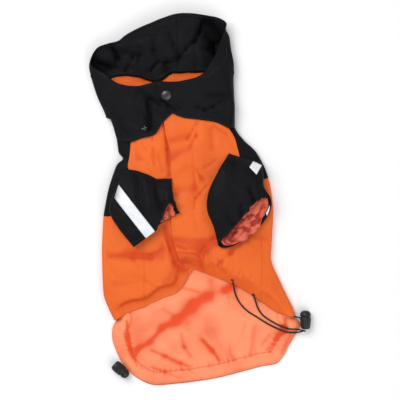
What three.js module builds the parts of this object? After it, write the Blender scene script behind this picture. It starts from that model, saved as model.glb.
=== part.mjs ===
// A small dog's hooded raincoat, laid flat on its back with the chest side up.
// Millimetres. X runs across the coat, Y from the back hem to the hood, Z up from the surface it lies on.
// Each cloth piece is a wall of its own, a third of a millimetre from its neighbours at the seams.
import * as THREE from "three";

// ---- main sizes ----
const CLOTH = 1.2;
const LINING = 0.9;
const SEAM_GAP = 0.35;
const LAYER_GAP = 0.5;
const LINING_GAP = 0.7;
const SIDE_RADIUS = 4.8;
const CROWN = 6.4;
const CROWN_REACH = 22;
const FOLD_FADE = 6;
const FREE_HEM = { from: -96, over: 18 };
const LAP_STEP = CLOTH + 1.35;
const LAP_UNDER = 19;
const YOKE_SEAM_LEFT = -18;
const YOKE_SEAM_RIGHT = 24;
const NECK_LEFT = 66;
const NECK_RIGHT = 80;
const TAPE_THICKNESS = 0.5;
const TAPE_LIFT = 0.5;
const CORD_DIAMETER = 1.8;
const CORD_SIDES = 8;
const SNAP_RADIUS = 5.8;
const SNAP_HEIGHT = 1.9;
const LOCK_RADIUS = 5.9;
const LOCK_BODY_LENGTH = 13.8;
const LOCK_BUTTON_LENGTH = 6.6;

const ORANGE = 0xf4702e;
const CORAL = 0xff7b52;
const BLACK = 0x1d1d21;
const TAPE_WHITE = 0xf1f2f6;
const CUFF_CORAL = 0xd95a42;
const PLASTIC_BLACK = 0x151517;

// Rows of numbers become rows with named columns.
function table(names, rows) {
  const keys = names.split(" ");
  return rows.map((row) => Object.fromEntries(keys.map((key, i) => [key, row[i]])));
}

// ---- outlines, each from the neck down unless it says otherwise ----
const SIDE_LEFT = table("x y", [
  [-118, 150], [-104, 112], [-91.3, 88], [-86.5, 66], [-85, 46], [-91, 27], [-95.6, 12], [-98.5, -2],
  [-101.2, -18], [-102.3, -36], [-103, -55], [-102.6, -75], [-102, -92], [-100.6, -107], [-95.2, -121],
  [-89.1, -133.4],
]);
const SIDE_RIGHT = table("x y", [
  [42.6, 150], [42, 120], [43.6, 98], [44, 80], [53.9, 66], [66, 54.5], [73, 43.5], [78.5, 32], [82.5, 18],
  [85, 4], [86.6, -11], [85.6, -33], [84.6, -52], [84.2, -67], [93, -88], [102, -107], [108, -119],
  [111.1, -127.9],
]);
const NECK_FRONT = table("x y", [
  [-70.4, 66], [-58.3, 70.5], [-46.2, 76.5], [-33, 91.5], [-25.3, 99], [-16.5, 95], [0, 92.5], [16.5, 90.5],
  [29.7, 86.5], [37.4, 78.6],
]);
const SEAM_LEFT = table("x y", [
  [-70.4, 66], [-71.5, 49], [-70.5, 36], [-58, 28], [-36, 22], [-31, 14], [-38, 5], [-57, 0], [-66, -9],
  [-62, -28], [-57.5, -48], [-56.7, -75], [-56.7, -100], [-55.5, -119],
]);
const YOKE_EDGE_LEFT = table("x y", [[-70.8, 66], [-71.9, 49], [-74, 33], [-76.5, 14], [-73, -14]]);
const BACK_EDGE_LEFT = table("x y", [
  [-73, -15], [-66.5, -24], [-62.4, -34], [-58, -50], [-57.1, -75], [-57.1, -100], [-55.9, -119.2],
]);
const LAP_EDGE = table("x y", [
  [-34.6, 90], [-31.9, 71], [-27.5, 54.7], [-26.4, 38], [-25.9, 24], [-25.3, 8], [-26.4, -6], [-26.4, -20],
  [-24.2, -44], [-19.8, -57.5], [-15.4, -68.5], [-9.4, -77],
]);
const SEAM_RIGHT = table("x y", [
  [37.4, 78.6], [43, 66], [45, 53], [42, 44], [39.5, 30], [43, 14], [53, 3], [66, -6], [71, -22], [73.2, -50],
  [74.4, -72], [73.4, -97], [72.6, -112.6],
]);
const YOKE_EDGE_RIGHT = table("x y", [[38, 79.6], [43.6, 66], [48, 52], [58, 44], [66, 32], [67, 21]]);
const BACK_EDGE_RIGHT = table("x y", [
  [68, 19], [70, 4], [71.4, -22], [73.7, -50], [74.9, -72], [73.9, -97], [73.1, -112.8],
]);
const HEM_LEFT = table("x y", [
  [-55.5, -119], [-35.2, -109.2], [-21, -103.5], [-11, -92], [-6.8, -83], [-2, -76.6], [9.6, -79],
]);
const HEM_SIDE_LEFT = table("x y", [[-73.7, -125.1]]);
const HEM_RIGHT = table("x y", [
  [-9.4, -77], [-5.5, -75.6], [5.5, -78.9], [26.4, -87.2], [42.4, -93.8], [57, -102], [72.6, -112.6],
]);
const HEM_SIDE_RIGHT = table("x y", [[90, -124.6]]);
const FLANK_LEFT = table("x y", [[-90.6, -140], [-92, -148], [-90.8, -158]]);
const FLANK_RIGHT = table("x y", [[114.5, -134], [116.6, -139.5], [113.6, -145.5], [108, -152.5]]);
const HEM_BACK = table("x y", [
  [-86.5, -170], [-82, -179], [-74.8, -188.4], [-63.8, -197.7], [-47.3, -204.9], [-22, -203.8], [5.5, -200.5],
  [27.5, -196.6], [55, -189.5], [73.7, -184.5], [90.2, -181.2], [97.9, -173], [103.6, -161.5],
]);
const SLIT_TOP = table("x y", [
  [-87, 134], [-80, 135.5], [-66, 134.6], [-53, 131], [-43, 130.5], [-36, 134], [-30, 138.5], [-22, 140.5],
  [-5, 140.5], [13, 140.5], [24, 138],
]);

const YOKE_LINING_LEFT = table("x y", [[-87, 134], [-80, 100], [-77, 60], [-86, 20], [-94, -16]]);
const YOKE_LINING_RIGHT = table("x y", [[24, 138], [28, 100], [32, 76], [58, 48], [74.5, 24.5]]);

// ---- the largest folds: a soft ridge (height above 0) or trough (below 0) along a line ----
const FRONT_FOLDS = table("x1 y1 x2 y2 width height", [
  [2, 84, -4, 58, 6, 2.2],
  [6, 80, 4, 40, 7, -1.6],
  [-22, 86, -24, 40, 5, -1.3],
  [-6, 60, -23, 32, 7, 1.8],
  [2, 32, 14, 12, 7, 1.6],
  [0, 34, -2, -14, 5, -1.5],
  [-10, 24, -12, -10, 8, 1.2],
  [-62, 62, -46, 34, 7, 1.4],
  [-40, 52, -34, 22, 5, -1.2],
  [-24, -46, 6, -56, 7, -1.9],
  [-18, -60, 14, -62, 6, 1.7],
  [8, -52, 34, -42, 8, -1.9],
  [30, -62, 62, -58, 9, 1.7],
  [-98, -60, -42, -63, 6, -1.5],
  [-92, -74, -60, -78, 9, 1.6],
  [-92, -106, -36, -105, 6, -1.5],
  [-30, -88, -14, -70, 7, -2.2],
  [-46, -90, -26, -96, 8, 1.5],
  [-86, -54, -96, -28, 7, 1.5],
  [24, -80, 62, -94, 6, 1.4],
  [50, -70, 70, -84, 6, -1.3],
  [84, -100, 100, -118, 6, 1.4],
]);
const BACK_FOLDS = table("x1 y1 x2 y2 width height", [
  [-70, -141, -20, -112, 13, 3.2],
  [-30, -162, 24, -122, 13, 3.4],
  [6, -148, 30, -176, 9, 2.6],
  [-36, -176, -10, -186, 8, 2.4],
  [-66, -160, -62, -182, 7, 2],
  [40, -118, 76, -134, 12, 2.4],
  [60, -148, 92, -150, 11, 2.9],
  [92, -134, 106, -140, 6, 2.4],
  [52, -172, 84, -166, 7, 2],
]);

// ---- curves and heights ----
const CURVE_DIVISIONS = 400;

function smooth(points) {
  return new THREE.CatmullRomCurve3(points, false, "centripetal");
}

function curve(rows) {
  const path = smooth(rows.map((row) => new THREE.Vector3(row.x, row.y, 0)));
  path.arcLengthDivisions = CURVE_DIVISIONS;
  return (t) => path.getPointAt(Math.min(1, Math.max(0, t)));
}

function straight(a, b) {
  return (t) => a.clone().lerp(b, t);
}

// The place across the coat of an outline at a height along it.
function xAt(rows, y) {
  if (y >= rows[0].y) return rows[0].x;
  for (let i = 1; i < rows.length; i++) {
    const a = rows[i - 1];
    const b = rows[i];
    if (y >= b.y) return b.x + ((a.x - b.x) * (y - b.y)) / (a.y - b.y);
  }
  return rows[rows.length - 1].x;
}

function foldLift(folds, x, y) {
  let lift = 0;
  for (const f of folds) {
    const dx = f.x2 - f.x1;
    const dy = f.y2 - f.y1;
    const along = ((x - f.x1) * dx + (y - f.y1) * dy) / (dx * dx + dy * dy);
    const t = Math.min(1, Math.max(0, along));
    const away = Math.hypot(x - f.x1 - t * dx, y - f.y1 - t * dy) / f.width;
    lift += f.height * Math.exp(-away * away);
  }
  return lift;
}

// Height of the outer face of the front, rounding down to the side folds.
function frontHeight(x, y) {
  const fromLeft = x - xAt(SIDE_LEFT, y) - SIDE_RADIUS;
  const fromRight = xAt(SIDE_RIGHT, y) - SIDE_RADIUS - x;
  const inside = Math.max(0, Math.min(fromLeft, fromRight));
  const share = 1 - Math.exp(-inside / CROWN_REACH);
  return 2 * SIDE_RADIUS + CROWN * share + foldLift(FRONT_FOLDS, x, y) * Math.min(1, inside / FOLD_FADE);
}

// The hem of the back lies free below the front and lifts in soft ridges; elsewhere the back is flat.
function backLift(x, y) {
  const free = Math.min(1, Math.max(0, (FREE_HEM.from - y) / FREE_HEM.over));
  return foldLift(BACK_FOLDS, x, y) * free;
}

// A patch between four edges: up and down are run across, left and right along.
function patch(up, down, left, right) {
  return (u, v) => {
    const across = up(u).clone().lerp(down(u), v);
    const along = left(v).clone().lerp(right(v), u);
    const ends = up(0).clone().lerp(up(1), u).lerp(down(0).clone().lerp(down(1), u), v);
    return across.add(along).sub(ends);
  };
}

// An edge moved inwards by a distance, square to itself.
const INSET_STEP = 0.004;

function inset(edge, outward, distance) {
  return (t) => {
    const a = edge(Math.max(0, t - INSET_STEP));
    const b = edge(Math.min(1, t + INSET_STEP));
    const normal = new THREE.Vector3(-(b.y - a.y), b.x - a.x, 0).normalize();
    if (normal.x * outward < 0) normal.negate();
    return edge(t).clone().addScaledVector(normal, -distance);
  };
}

// ---- walls ----
// A closed wall from a grid of points on its outer face. side is 1 or -1, whichever way the outer face looks.
// has(i, j) says whether the cell between line i and the next, row j and the next, is there.
function wall(grid, thickness, side, { closed = false, has = () => true } = {}) {
  const rows = grid[0].length;
  const spans = closed ? grid.length : grid.length - 1;
  const cells = [];
  const present = (i, j) => {
    const line = closed ? (i + spans) % spans : i;
    return line >= 0 && line < spans && j >= 0 && j < rows - 1 && has(line, j);
  };
  const index = (i, j) => (i % grid.length) * rows + j;
  const points = grid.flat();
  const normals = points.map(() => new THREE.Vector3());
  for (let i = 0; i < spans; i++) {
    for (let j = 0; j < rows - 1; j++) {
      if (!present(i, j)) continue;
      const corners = [index(i, j), index(i + 1, j), index(i + 1, j + 1), index(i, j + 1)];
      const one = points[corners[2]].clone().sub(points[corners[0]]);
      const other = points[corners[3]].clone().sub(points[corners[1]]);
      const normal = one.cross(other).normalize();
      corners.forEach((k) => normals[k].add(normal));
      cells.push([i, j, corners]);
    }
  }
  const under = points.length;
  const positions = [];
  points.forEach((p) => positions.push(p.x, p.y, p.z));
  points.forEach((p, k) => {
    const q = p.clone().addScaledVector(normals[k].normalize(), -side * thickness);
    positions.push(q.x, q.y, q.z);
  });
  const faces = [];
  const quad = (a, b, c, d) => {
    if (side > 0) faces.push(a, b, c, a, c, d);
    else faces.push(a, c, b, a, d, c);
  };
  for (const [i, j, [a, b, c, d]] of cells) {
    quad(a, b, c, d);
    quad(under + a, under + d, under + c, under + b);
    if (!present(i, j - 1)) quad(a, under + a, under + b, b);
    if (!present(i, j + 1)) quad(d, c, under + c, under + d);
    if (!present(i - 1, j)) quad(a, d, under + d, under + a);
    if (!present(i + 1, j)) quad(b, under + b, under + c, c);
  }
  const geometry = new THREE.BufferGeometry();
  geometry.setAttribute("position", new THREE.Float32BufferAttribute(positions, 3));
  geometry.setIndex(faces);
  return geometry;
}

function sample(surface, across, along) {
  const grid = [];
  for (let i = 0; i <= across; i++) {
    const line = [];
    for (let j = 0; j <= along; j++) line.push(surface(i / across, j / along));
    grid.push(line);
  }
  return grid;
}

// ---- meshes ----
const coat = new THREE.Group();

function piece(name, geometry, color, roughness = 0.8) {
  const material = new THREE.MeshStandardMaterial({ color, roughness, metalness: 0 });
  const mesh = new THREE.Mesh(geometry, material);
  mesh.name = name;
  coat.add(mesh);
  return mesh;
}

// ---- front panels ----
const FRONT_ROWS = 22;
const FRONT_LEFT_SPANS = 12;
const FRONT_RIGHT_SPANS = 16;

function frontPatch(up, down, left, right, lift) {
  const flat = patch(up, down, left, right);
  return (u, v) => {
    const p = flat(u, v);
    p.z = frontHeight(p.x, p.y) + lift;
    return p;
  };
}

// The share of a run of curve at which it reaches a place across the coat.
const RUN_STEP = 0.0005;

function shareAt(run, x) {
  let t = 0;
  while (run(t).x < x) t += RUN_STEP;
  return t;
}

const neck = curve(NECK_FRONT);
const lapTop = shareAt(neck, LAP_EDGE[0].x);
const underTop = shareAt(neck, LAP_EDGE[0].x + LAP_UNDER);
const lapEdge = curve([neck(lapTop), ...LAP_EDGE.slice(1)]);
const underRows = LAP_EDGE.slice(1, -1).map((row) => ({ x: row.x + LAP_UNDER, y: row.y }));
const underEdge = curve([neck(underTop), ...underRows, HEM_LEFT[HEM_LEFT.length - 1]]);

const frontLeft = frontPatch((u) => neck(u * underTop), curve(HEM_LEFT), curve(SEAM_LEFT), underEdge, 0);
piece("front_left", wall(sample(frontLeft, FRONT_LEFT_SPANS, FRONT_ROWS), CLOTH, -1), ORANGE);

const frontRight = frontPatch(
  (u) => neck(lapTop + (1 - lapTop) * u),
  curve(HEM_RIGHT),
  lapEdge,
  curve(SEAM_RIGHT),
  LAP_STEP,
);
piece("front_right", wall(sample(frontRight, FRONT_RIGHT_SPANS, FRONT_ROWS), CLOTH, -1), ORANGE);

// ---- back panel and yoke: each runs from the front, round both side folds, under the coat ----
const SIDE_LEFT_CURVE = curve(SIDE_LEFT);
const SIDE_RIGHT_CURVE = curve(SIDE_RIGHT);

// The share of a side outline at which it comes down to a height.
function shareDown(run, y) {
  let t = 0;
  while (t < 1 && run(t).y > y) t += RUN_STEP;
  return t;
}

function partOf(run, from, to) {
  return (t) => run(from + (to - from) * t);
}

// Two runs end to end, the first taking a share of the whole.
function joined(first, second, share) {
  return (t) => (t <= share ? first(t / share) : second((t - share) / (1 - share)));
}

function foldLine(run, outward, top, bottom) {
  const from = shareDown(run, top);
  const to = shareDown(run, bottom);
  return { side: partOf(run, from, to), fold: partOf(inset(run, outward, SIDE_RADIUS), from, to) };
}

// Round the side fold, from the front (angle 0) to the floor (half a turn).
function roundFold({ side, fold }, v, angle) {
  const line = fold(v);
  const out = side(v).clone().sub(line).normalize();
  const p = line.clone().addScaledVector(out, SIDE_RADIUS * Math.sin(angle));
  p.z = SIDE_RADIUS * (1 + Math.cos(angle));
  return p;
}

// Lines of points from the front's left edge, round under the coat, to the front's right edge.
// The front and side columns stop at row "stop"; the floor goes on to row "rows".
function wrap({ left, right, topLeft, topRight, floor }, spans, rows, stop) {
  const columns = [];
  for (let i = 0; i < spans.left; i++) columns.push((v) => topLeft(i / spans.left, v));
  for (let i = 0; i < spans.fold; i++) columns.push((v) => roundFold(left, v, (Math.PI * i) / spans.fold));
  const floorStart = columns.length;
  for (let i = 0; i <= spans.floor; i++) columns.push(null);
  const floorEnd = columns.length - 1;
  for (let i = spans.fold - 1; i > 0; i--) {
    columns.push((v) => roundFold(right, v, (Math.PI * i) / spans.fold));
  }
  for (let i = 0; i <= spans.right; i++) columns.push((v) => topRight(i / spans.right, v));
  const grid = columns.map((column, k) => {
    const line = [];
    for (let j = 0; j <= rows; j++) {
      if (column) line.push(column(Math.min(1, j / stop)));
      else line.push(floor((k - floorStart) / spans.floor, j / rows));
    }
    return line;
  });
  const has = (i, j) => j < stop || (i >= floorStart && i < floorEnd);
  return { grid, has, floorGrid: grid.slice(floorStart, floorEnd + 1) };
}

const BACK_SPANS = { left: 4, fold: 4, floor: 17, right: 2 };
const BACK_ROWS = 20;
const BACK_STOP = 14;
const BACK_SHARE = BACK_STOP / BACK_ROWS;
const sideEndLeft = SIDE_LEFT[SIDE_LEFT.length - 1].y;
const sideEndRight = SIDE_RIGHT[SIDE_RIGHT.length - 1].y;
const backLeft = foldLine(SIDE_LEFT_CURVE, -1, YOKE_SEAM_LEFT - SEAM_GAP, sideEndLeft);
const backRight = foldLine(SIDE_RIGHT_CURVE, 1, YOKE_SEAM_RIGHT - SEAM_GAP, sideEndRight);
const backEdgeLeft = curve(BACK_EDGE_LEFT);
const backEdgeRight = curve(BACK_EDGE_RIGHT);
const flankLeft = curve([backLeft.fold(1), ...FLANK_LEFT, HEM_BACK[0]]);
const flankRight = curve([backRight.fold(1), ...FLANK_RIGHT, HEM_BACK[HEM_BACK.length - 1]]);
const backFloor = patch(
  straight(backLeft.fold(0), backRight.fold(0)),
  curve(HEM_BACK),
  joined(backLeft.fold, flankLeft, BACK_SHARE),
  joined(backRight.fold, flankRight, BACK_SHARE),
);
const back = wrap(
  {
    left: backLeft,
    right: backRight,
    topLeft: frontPatch(
      straight(backEdgeLeft(0), backLeft.fold(0)),
      curve([backEdgeLeft(1), ...HEM_SIDE_LEFT, backLeft.fold(1)]),
      backEdgeLeft,
      backLeft.fold,
      0,
    ),
    topRight: frontPatch(
      straight(backRight.fold(0), backEdgeRight(0)),
      curve([backRight.fold(1), ...HEM_SIDE_RIGHT, backEdgeRight(1)]),
      backRight.fold,
      backEdgeRight,
      0,
    ),
    floor: (u, v) => {
      const p = backFloor(u, v);
      p.z = backLift(p.x, p.y);
      return p;
    },
  },
  BACK_SPANS,
  BACK_ROWS,
  BACK_STOP,
);
piece("back_panel", wall(back.grid, CLOTH, 1, { has: back.has }), ORANGE);

const YOKE_SPANS = { left: 3, fold: 4, floor: 10, right: 2 };
const YOKE_ROWS = 9;
const yokeLeft = foldLine(SIDE_LEFT_CURVE, -1, NECK_LEFT, YOKE_SEAM_LEFT);
const yokeRight = foldLine(SIDE_RIGHT_CURVE, 1, NECK_RIGHT, YOKE_SEAM_RIGHT);
const yokeEdgeLeft = curve(YOKE_EDGE_LEFT);
const yokeEdgeRight = curve(YOKE_EDGE_RIGHT);
const yoke = wrap(
  {
    left: yokeLeft,
    right: yokeRight,
    topLeft: frontPatch(
      straight(yokeEdgeLeft(0), yokeLeft.fold(0)),
      straight(yokeEdgeLeft(1), yokeLeft.fold(1)),
      yokeEdgeLeft,
      yokeLeft.fold,
      0,
    ),
    topRight: frontPatch(
      straight(yokeRight.fold(0), yokeEdgeRight(0)),
      straight(yokeRight.fold(1), yokeEdgeRight(1)),
      yokeRight.fold,
      yokeEdgeRight,
      0,
    ),
    floor: patch(
      straight(yokeLeft.fold(0), yokeRight.fold(0)),
      straight(yokeLeft.fold(1), yokeRight.fold(1)),
      yokeLeft.fold,
      yokeRight.fold,
    ),
  },
  YOKE_SPANS,
  YOKE_ROWS,
  YOKE_ROWS,
);
piece("yoke", wall(yoke.grid, CLOTH, 1), BLACK);

// ---- linings, lying on the inside of the back ----
const LINING_INSET = 0.22;
const LINING_FACE = CLOTH + LINING_GAP + LINING;
const lastFloor = back.floorGrid.length - 1;
const liningGrid = back.floorGrid.map((line, i) => {
  const beside = i === 0 ? 1 : lastFloor - 1;
  const share = i === 0 || i === lastFloor ? LINING_INSET : 0;
  return line.map((p, j) => {
    const q = p.clone().lerp(back.floorGrid[beside][j], share);
    q.z += LINING_FACE;
    return q;
  });
});
piece("back_lining", wall(liningGrid, LINING, -1), CORAL);

const yokeLiningLeft = curve(YOKE_LINING_LEFT);
const yokeLiningRight = curve(YOKE_LINING_RIGHT);
const yokeLiningFlat = patch(
  curve(SLIT_TOP),
  straight(yokeLiningLeft(1), yokeLiningRight(1)),
  yokeLiningLeft,
  yokeLiningRight,
);
const yokeLining = (u, v) => {
  const p = yokeLiningFlat(u, v);
  p.z = LINING_FACE;
  return p;
};
const YOKE_LINING_SPANS = 12;
const YOKE_LINING_ROWS = 8;
piece("yoke_lining", wall(sample(yokeLining, YOKE_LINING_SPANS, YOKE_LINING_ROWS), LINING, -1), ORANGE);

// ---- hood: two halves, each a loft through sections that run from the neck to the face opening ----
// on = 1: heights are above the front; on = 0: heights are above the surface the coat lies on.
const SECTION = "on nx ny nz mx my mz tx ty tz rx ry rz lx ly lz";
const HOOD_LEFT = table(SECTION, [
  [1, -31, 101, 1.9, -32, 107, 2.4, -33, 118, 2.8, -34, 125, 3.2, -34, 127.5, 2.8],
  [1, -46, 73.4, 1.9, -48, 92, 3.4, -50, 112, 4.4, -50, 123, 5.4, -50, 125.5, 4.4],
  [1, -65, 66.8, 2.1, -67, 88, 4.2, -70, 110, 5.6, -71, 122, 6.4, -71, 124.6, 5.2],
  [1, -79, 66.9, 2.1, -83, 88, 3.6, -91, 112, 6, -95, 129, 7.4, -95.5, 133, 6.4],
  [0, -86.5, 66.8, 5, -91.4, 88, 6, -105.5, 115, 8, -117, 146, 10.5, -112, 148, 15],
  [0, -80, 67.4, 0, -86, 88, 0, -102, 132, 0, -113, 158, 11, -106, 156, 15.5],
  [0, -60, 69.8, 0, -64, 105, 0, -84, 160, 0, -99, 172.5, 13, -94, 166, 17],
  [0, -40, 71.4, 0, -42, 115, 0, -54, 176, 0, -60, 188, 14, -57, 181, 19],
  [0, -20.5, 73.6, 0, -20.5, 120, 0, -20.5, 192, 0, -20.5, 204.4, 14, -20.5, 197, 20],
]);
const HOOD_RIGHT = table(SECTION, [
  [0, -19.6, 73.6, 0, -19.6, 120, 0, -19.6, 192, 0, -19.6, 204.4, 14, -19.6, 197, 20],
  [0, 0, 75.8, 0, 0, 120, 0, 6, 190, 0, 9, 202.4, 14, 7, 195, 20],
  [0, 18, 77.8, 0, 20, 118, 0, 25, 182, 0, 31, 196, 14, 26, 189, 19],
  [0, 34, 79.6, 0, 34, 112, 0, 32, 156, 0, 38, 175, 12, 28, 173, 18],
  [0, 43.9, 80.6, 6, 43.6, 98, 7, 42, 130, 8, 40.4, 154, 12, 29, 155, 18],
  [1, 36, 81.4, 4.4, 36, 100, 5, 34, 120, 7, 27, 137, 8.4, 20, 147, 7.6],
  [1, 16.5, 87.2, 4.2, 15, 102, 5.6, 11, 120, 7.4, 6, 132, 8.2, 4.5, 135.5, 7.2],
  [1, 0, 89.4, 4.2, -4, 102, 5.6, -8, 117, 7.4, -13, 127, 8.2, -13.6, 129.6, 7.2],
  [1, -16.5, 92.1, 4.2, -19, 104, 5.4, -24, 117, 7, -29, 126, 7.8, -29.6, 128.4, 7],
  [1, -25.3, 96, 4.2, -31, 104.5, 5.2, -39, 113, 6.6, -41.4, 122, 7.6, -41.6, 126, 7],
]);

function sectionPoints(row) {
  return ["n", "m", "t", "r", "l"].map((key) => {
    const x = row[key + "x"];
    const y = row[key + "y"];
    const z = row[key + "z"] + (row.on ? frontHeight(x, y) : 0);
    return new THREE.Vector3(x, y, z);
  });
}

function loft(rows) {
  const lines = rows.map((row) => smooth(sectionPoints(row)));
  return (u, v) => {
    const p = smooth(lines.map((line) => line.getPoint(v))).getPoint(u);
    p.z = Math.max(0, p.z);
    return p;
  };
}

const HOOD_ROWS = 12;
const HOOD_LEFT_SPANS = 20;
const HOOD_RIGHT_SPANS = 22;
const hoodLeftGrid = sample(loft(HOOD_LEFT), HOOD_LEFT_SPANS, HOOD_ROWS);
const hoodRightGrid = sample(loft(HOOD_RIGHT), HOOD_RIGHT_SPANS, HOOD_ROWS);
piece("hood_left", wall(hoodLeftGrid, CLOTH, -1), BLACK);
const hoodRight = piece("hood_right", wall(hoodRightGrid, CLOTH, -1), BLACK);

// ---- sleeves: rings from the armhole to the cuff, each between a left and a right side fold ----
// tx, ty and bx, by shift the middle of the upper and lower layer; ax, ay is the arch of the cuff's mouth.
const RING = "lx ly rx ry tx ty bx by ax ay mid top";
const SLEEVE_LEFT = table(RING, [
  [-76, 31.6, -27.5, 22.8, 1, 0, 1, -26, 0, 0, 0.9, 1.5],
  [-88, 10, -23.5, 9, 0, 3, 2, -14, 0, 0, 5.4, 11],
  [-94, -12, -20.8, -3, 0, 0, 3, -5, 0, 0, 6, 14],
  [-84, -31, -18.2, -10, 0, 0, 0, 0, 0, 4, 6.2, 15],
  [-67, -52, -16.5, -14.6, 0, 1, 1, -1, -4, 14, 6, 14],
]);
const SLEEVE_RIGHT = table(RING, [
  [37.4, 50, 72.5, 42, 2, 3, 0, -40, 0, 0, 0.9, 1.5],
  [25.5, 31, 76, 29, 0, 5, 0, -31, 0, 0, 5.6, 12],
  [14.5, 9, 76.5, 14, 0, 3, 0, -19, 0, 0, 6.2, 15],
  [12.8, -11, 83, 3, 0, 0, 2, -12, 0, 0, 6.4, 16],
  [20.5, -30, 85, 1, 0, 0, 6, -12, -3, 4, 6.4, 16],
  [25.3, -49.8, 85.8, -1.4, -1.5, 3, 13, -17, -7, 9, 6, 16],
]);
const ARCH_AT = Math.PI / 4;
const ARCH_WIDTH = 0.6;
const UPPER_ROUND = 0.8;
const LOWER_ROUND = 0.7;
const RAIL_SHARE = 2;
const LAP_RAMP = { from: 11, to: 3 };

// Height at which a sleeve rests: on the left front, then up over the lap of the right front.
function sleeveRest(x, y) {
  const before = xAt(LAP_EDGE, y) - x;
  const t = Math.min(1, Math.max(0, (LAP_RAMP.from - before) / (LAP_RAMP.from - LAP_RAMP.to)));
  return frontHeight(x, y) + LAYER_GAP + LAP_STEP * t * t * (3 - 2 * t);
}

// Named columns of the rings, run smoothly from one ring to the next.
function ringAt(rings, v) {
  const place = Math.min(1, Math.max(0, v)) * (rings.length - 1);
  const i = Math.min(rings.length - 2, Math.floor(place));
  const t = place - i;
  const pick = (k) => rings[Math.min(rings.length - 1, Math.max(0, k))];
  const ring = {};
  for (const key of Object.keys(rings[0])) {
    const [a, b, c, d] = [pick(i - 1)[key], pick(i)[key], pick(i + 1)[key], pick(i + 2)[key]];
    const m0 = (c - a) / 2;
    const m1 = (d - b) / 2;
    ring[key] = b + t * m0 + t * t * (3 * (c - b) - 2 * m0 - m1) + t * t * t * (2 * (b - c) + m0 + m1);
  }
  return ring;
}

// inset makes a smaller tube inside the same rings.
function sleeve(rings, inset = 0) {
  return (angle, v) => {
    const ring = ringAt(rings, v);
    const c = Math.cos(angle);
    const s = Math.sin(angle);
    const shiftX = s > 0 ? s * ring.tx : -s * ring.bx;
    const shiftY = s > 0 ? s * ring.ty : -s * ring.by;
    const arch = Math.exp(-(((angle - ARCH_AT) / ARCH_WIDTH) ** 2));
    const width = Math.hypot(ring.rx - ring.lx, ring.ry - ring.ly);
    const reach = (c * (width - 2 * RAIL_SHARE * inset)) / (2 * width);
    const x = (ring.lx + ring.rx) / 2 + reach * (ring.rx - ring.lx) + shiftX + arch * ring.ax;
    const y = (ring.ly + ring.ry) / 2 + reach * (ring.ry - ring.ly) + shiftY + arch * ring.ay;
    const upper = ring.mid + (ring.top - inset - ring.mid) * Math.abs(s) ** UPPER_ROUND;
    const lower = ring.mid - (ring.mid - inset) * Math.abs(s) ** LOWER_ROUND;
    return new THREE.Vector3(x, y, sleeveRest(x, y) + (s > 0 ? upper : lower));
  };
}

function tubeGrid(shape, around, from, to, along) {
  const grid = [];
  for (let i = 0; i < around; i++) {
    const line = [];
    const angle = (2 * Math.PI * i) / around;
    for (let j = 0; j <= along; j++) line.push(shape(angle, from + ((to - from) * j) / along));
    grid.push(line);
  }
  return grid;
}

const SLEEVE_AROUND = 28;
const SLEEVE_ROWS = 11;
const leftSleeve = sleeve(SLEEVE_LEFT);
const rightSleeve = sleeve(SLEEVE_RIGHT);
const leftSleeveGrid = tubeGrid(leftSleeve, SLEEVE_AROUND, 0, 1, SLEEVE_ROWS);
const rightSleeveGrid = tubeGrid(rightSleeve, SLEEVE_AROUND, 0, 1, SLEEVE_ROWS);
piece("sleeve_left", wall(leftSleeveGrid, CLOTH, 1, { closed: true }), BLACK);
piece("sleeve_right", wall(rightSleeveGrid, CLOTH, 1, { closed: true }), BLACK);

// ---- cuff linings: gathered bands inside the cuffs ----
const CUFF_AROUND = 42;
const CUFF_ROWS = 3;
const CUFF_FROM = 0.86;
const CUFF_TO = 1.035;
const CUFF_STEP = 0.02;
const GATHERS = 14;
const GATHER_DEPTH = 0.5;

function cuffLining(rings) {
  const shape = sleeve(rings, CLOTH + 2 * LAYER_GAP + GATHER_DEPTH);
  return (angle, v) => {
    const held = Math.min(v, 1);
    const p = shape(angle, held);
    const along = p.clone().sub(shape(angle, held - CUFF_STEP));
    p.addScaledVector(along, (v - held) / CUFF_STEP);
    p.z += Math.sin(angle * GATHERS) * GATHER_DEPTH * Math.abs(Math.sin(angle));
    return p;
  };
}

function cuff(name, rings) {
  const grid = tubeGrid(cuffLining(rings), CUFF_AROUND, CUFF_FROM, CUFF_TO, CUFF_ROWS);
  return piece(name, wall(grid, LINING, 1, { closed: true }), CUFF_CORAL);
}

cuff("cuff_lining_left", SLEEVE_LEFT);
cuff("cuff_lining_right", SLEEVE_RIGHT);

// ---- reflective tapes, each lying on its sleeve ----
// Corner places: start and end of one long edge, then of the other.
const TAPE_SLEEVE_LEFT = table("x y", [[-82.5, 15.5], [-43.6, -34.4], [-87.6, 2], [-53.6, -42]]);
const TAPE_SHOULDER_RIGHT = table("x y", [[63.8, 42], [70.8, 38.2], [59.4, 35.5], [67.1, 28.5]]);

// The angle and share at which a sleeve's upper face passes over a place, by a search that closes in.
const SEARCH_STEPS = 6;
const SEARCH_NARROWING = 2.5;
const SEARCH_END = 0.0005;
const SEARCH_FROM = 0.01;
const SEARCH_TO = 0.99;

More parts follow.
